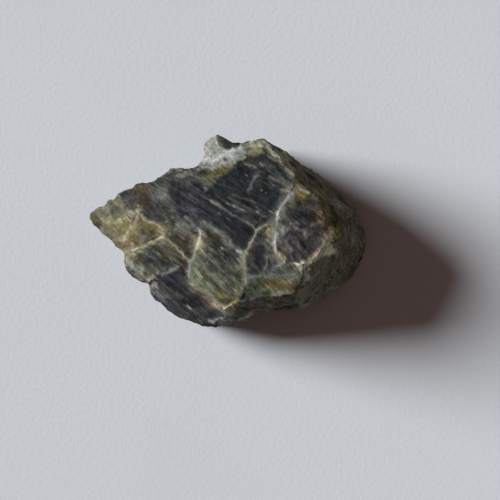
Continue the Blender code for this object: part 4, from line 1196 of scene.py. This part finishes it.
def stone_material():
    mat, nt, shader = new_material("diopside")
    L = nt.links.new
    place = node(nt, "ShaderNodeAttribute", attribute_name="fibre_place")
    paint_in = node(nt, "ShaderNodeAttribute", attribute_name="paint")
    vein_in = node(nt, "ShaderNodeAttribute", attribute_name="vein")
    fibrous = node(nt, "ShaderNodeAttribute", attribute_name="fibrous")

    def noise_at(scale, detail, roughness):
        stretch = node(nt, "ShaderNodeMapping", vector_type="POINT")
        stretch.inputs["Scale"].default_value = scale
        L(place.outputs["Vector"], stretch.inputs["Vector"])
        made = node(nt, "ShaderNodeTexNoise", Scale=1.0, Detail=detail, Roughness=roughness)
        L(stretch.outputs["Vector"], made.inputs["Vector"])
        return made.outputs["Fac"]

    fibre = noise_at((0.28, 3.4, 4.2), 4.0, 0.56)
    thread = noise_at((0.13, 5.0, 6.0), 2.0, 0.5)
    grain = noise_at((4.6, 6.2, 6.2), 4.0, 0.62)
    soft = noise_at((0.8, 1.3, 1.3), 3.0, 0.5)

    def times(colour, factor, amount=None):
        made = node(nt, "ShaderNodeMix", data_type="RGBA", blend_type="MULTIPLY")
        made.inputs["Factor"].default_value = 1.0
        if amount is not None:
            L(amount, made.inputs["Factor"])
        L(colour, made.inputs[6])
        L(factor, made.inputs[7])
        return made.outputs[2]

    streaks = ramp(nt, fibre, [(0.30, 0.58), (0.48, 0.94), (0.58, 1.16), (0.70, 1.7)])
    threads = ramp(nt, thread, [(0.50, 0.94), (0.62, 1.0), (0.72, 2.2)])
    grains = ramp(nt, grain, [(0.30, 0.78), (0.50, 1.0), (0.70, 1.28)])
    colour = times(paint_in.outputs["Color"], streaks, fibrous.outputs["Fac"])
    colour = times(colour, threads, fibrous.outputs["Fac"])
    colour = times(colour, grains)
    L(colour, shader.inputs["Base Color"])

    gloss = ramp(nt, soft, [(0.32, 0.60), (0.52, 0.69), (0.72, 0.79)])
    dull = math_node(nt, "MULTIPLY", vein_in.outputs["Fac"], 0.26)
    spread = math_node(nt, "MULTIPLY", math_node(nt, "SUBTRACT", fibre, 0.5), 0.30)
    L(math_node(nt, "ADD", math_node(nt, "ADD", gloss, dull), spread), shader.inputs["Roughness"])

    height = math_node(
        nt, "ADD",
        math_node(nt, "MULTIPLY", fibre, fibrous.outputs["Fac"]),
        math_node(nt, "MULTIPLY", grain, 0.55),
    )
    bump = node(nt, "ShaderNodeBump", Strength=0.8, Distance=0.00006)
    L(height, bump.inputs["Height"])
    L(bump.outputs["Normal"], shader.inputs["Normal"])
    shader.inputs["IOR"].default_value = 1.55
    shader.inputs["Specular IOR Level"].default_value = 0.08
    shader.inputs["Metallic"].default_value = 0.0
    return mat


def floor_material():
    mat, nt, shader = new_material("paper_floor")
    L = nt.links.new
    place = node(nt, "ShaderNodeTexCoord")
    tooth = node(nt, "ShaderNodeTexNoise", Scale=2200.0, Detail=4.0, Roughness=0.6)
    L(place.outputs["Object"], tooth.inputs["Vector"])
    wash = node(nt, "ShaderNodeTexNoise", Scale=45.0, Detail=2.0, Roughness=0.5)
    L(place.outputs["Object"], wash.inputs["Vector"])
    both = math_node(
        nt, "ADD",
        math_node(nt, "MULTIPLY", tooth.outputs["Fac"], 0.5),
        math_node(nt, "MULTIPLY", wash.outputs["Fac"], 0.5),
    )
    tint = nt.nodes.new("ShaderNodeValToRGB")
    tint.color_ramp.elements[0].position = 0.30
    tint.color_ramp.elements[0].color = (0.735, 0.765, 0.815, 1.0)
    tint.color_ramp.elements[1].position = 0.70
    tint.color_ramp.elements[1].color = (0.790, 0.815, 0.860, 1.0)
    L(both, tint.inputs["Fac"])
    L(tint.outputs["Color"], shader.inputs["Base Color"])
    bump = node(nt, "ShaderNodeBump", Strength=0.22, Distance=0.00008)
    L(tooth.outputs["Fac"], bump.inputs["Height"])
    L(bump.outputs["Normal"], shader.inputs["Normal"])
    shader.inputs["Roughness"].default_value = 0.9
    shader.inputs["Specular IOR Level"].default_value = 0.2
    return mat


# ---------------------------------------------------------------- the stone
mesh = build_stone()
mesh.name = "raw_star_diopside"
for face in mesh.polygons:
    face.use_smooth = True
mesh.materials.clear()
mesh.materials.append(stone_material())
stone = bpy.data.objects.new("raw_star_diopside", mesh)
bpy.context.scene.collection.objects.link(stone)
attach(stone, "root")
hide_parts("diopside_stone")

# ---------------------------------------------------------------- floor, light and camera
bpy.ops.mesh.primitive_circle_add(vertices=96, radius=3.0, fill_type="NGON", location=(0, 0, 0))
floor = bpy.context.object
floor.name = "paper_floor"
floor.data.materials.append(floor_material())

world = bpy.data.worlds.new("studio")
bpy.context.scene.world = world
world.use_nodes = True
wt = world.node_tree
wt.nodes.clear()
w_place = node(wt, "ShaderNodeTexCoord")
w_split = node(wt, "ShaderNodeSeparateXYZ")
w_ramp = wt.nodes.new("ShaderNodeValToRGB")
el = w_ramp.color_ramp.elements
el[0].position, el[0].color = 0.02, (0.53, 0.54, 0.555, 1.0)
el[1].position, el[1].color = 0.20, (0.067, 0.041, 0.035, 1.0)
w_back = node(wt, "ShaderNodeBackground", Strength=1.0)
w_out = node(wt, "ShaderNodeOutputWorld")
wt.links.new(w_place.outputs["Generated"], w_split.inputs[0])
wt.links.new(w_split.outputs["Z"], w_ramp.inputs["Fac"])
wt.links.new(w_ramp.outputs["Color"], w_back.inputs["Color"])
wt.links.new(w_back.outputs[0], w_out.inputs[0])


sun = bpy.data.lights.new("window", "SUN")
sun.energy = 6.1
sun.color = (0.960, 0.998, 1.0)
sun.angle = math.radians(25.0)
light = bpy.data.objects.new("window", sun)
from_deg, height_deg = math.radians(160.0), math.radians(20.5)
light.location = (
    0.6 * math.cos(height_deg) * math.cos(from_deg),
    0.6 * math.cos(height_deg) * math.sin(from_deg),
    0.6 * math.sin(height_deg),
)
light.rotation_euler = Vector(light.location).to_track_quat("Z", "Y").to_euler()
bpy.context.scene.collection.objects.link(light)

camera_data = bpy.data.cameras.new("camera")
camera_data.sensor_width = 36.0
camera_data.lens = 36.0 * VIEW_HEIGHT / (500.0 * UNIT)
camera_data.clip_start, camera_data.clip_end = 0.01, 20.0
camera = bpy.data.objects.new("camera", camera_data)
aim = plan(*DRAWING_CENTRE)
camera.location = (aim[0], aim[1], VIEW_HEIGHT)
camera.rotation_euler = (0.0, 0.0, 0.0)
bpy.context.scene.collection.objects.link(camera)
bpy.context.scene.camera = camera

bpy.context.scene.view_settings.view_transform = "Standard"
bpy.context.scene.view_settings.look = "None"

bpy.context.view_layer.update()
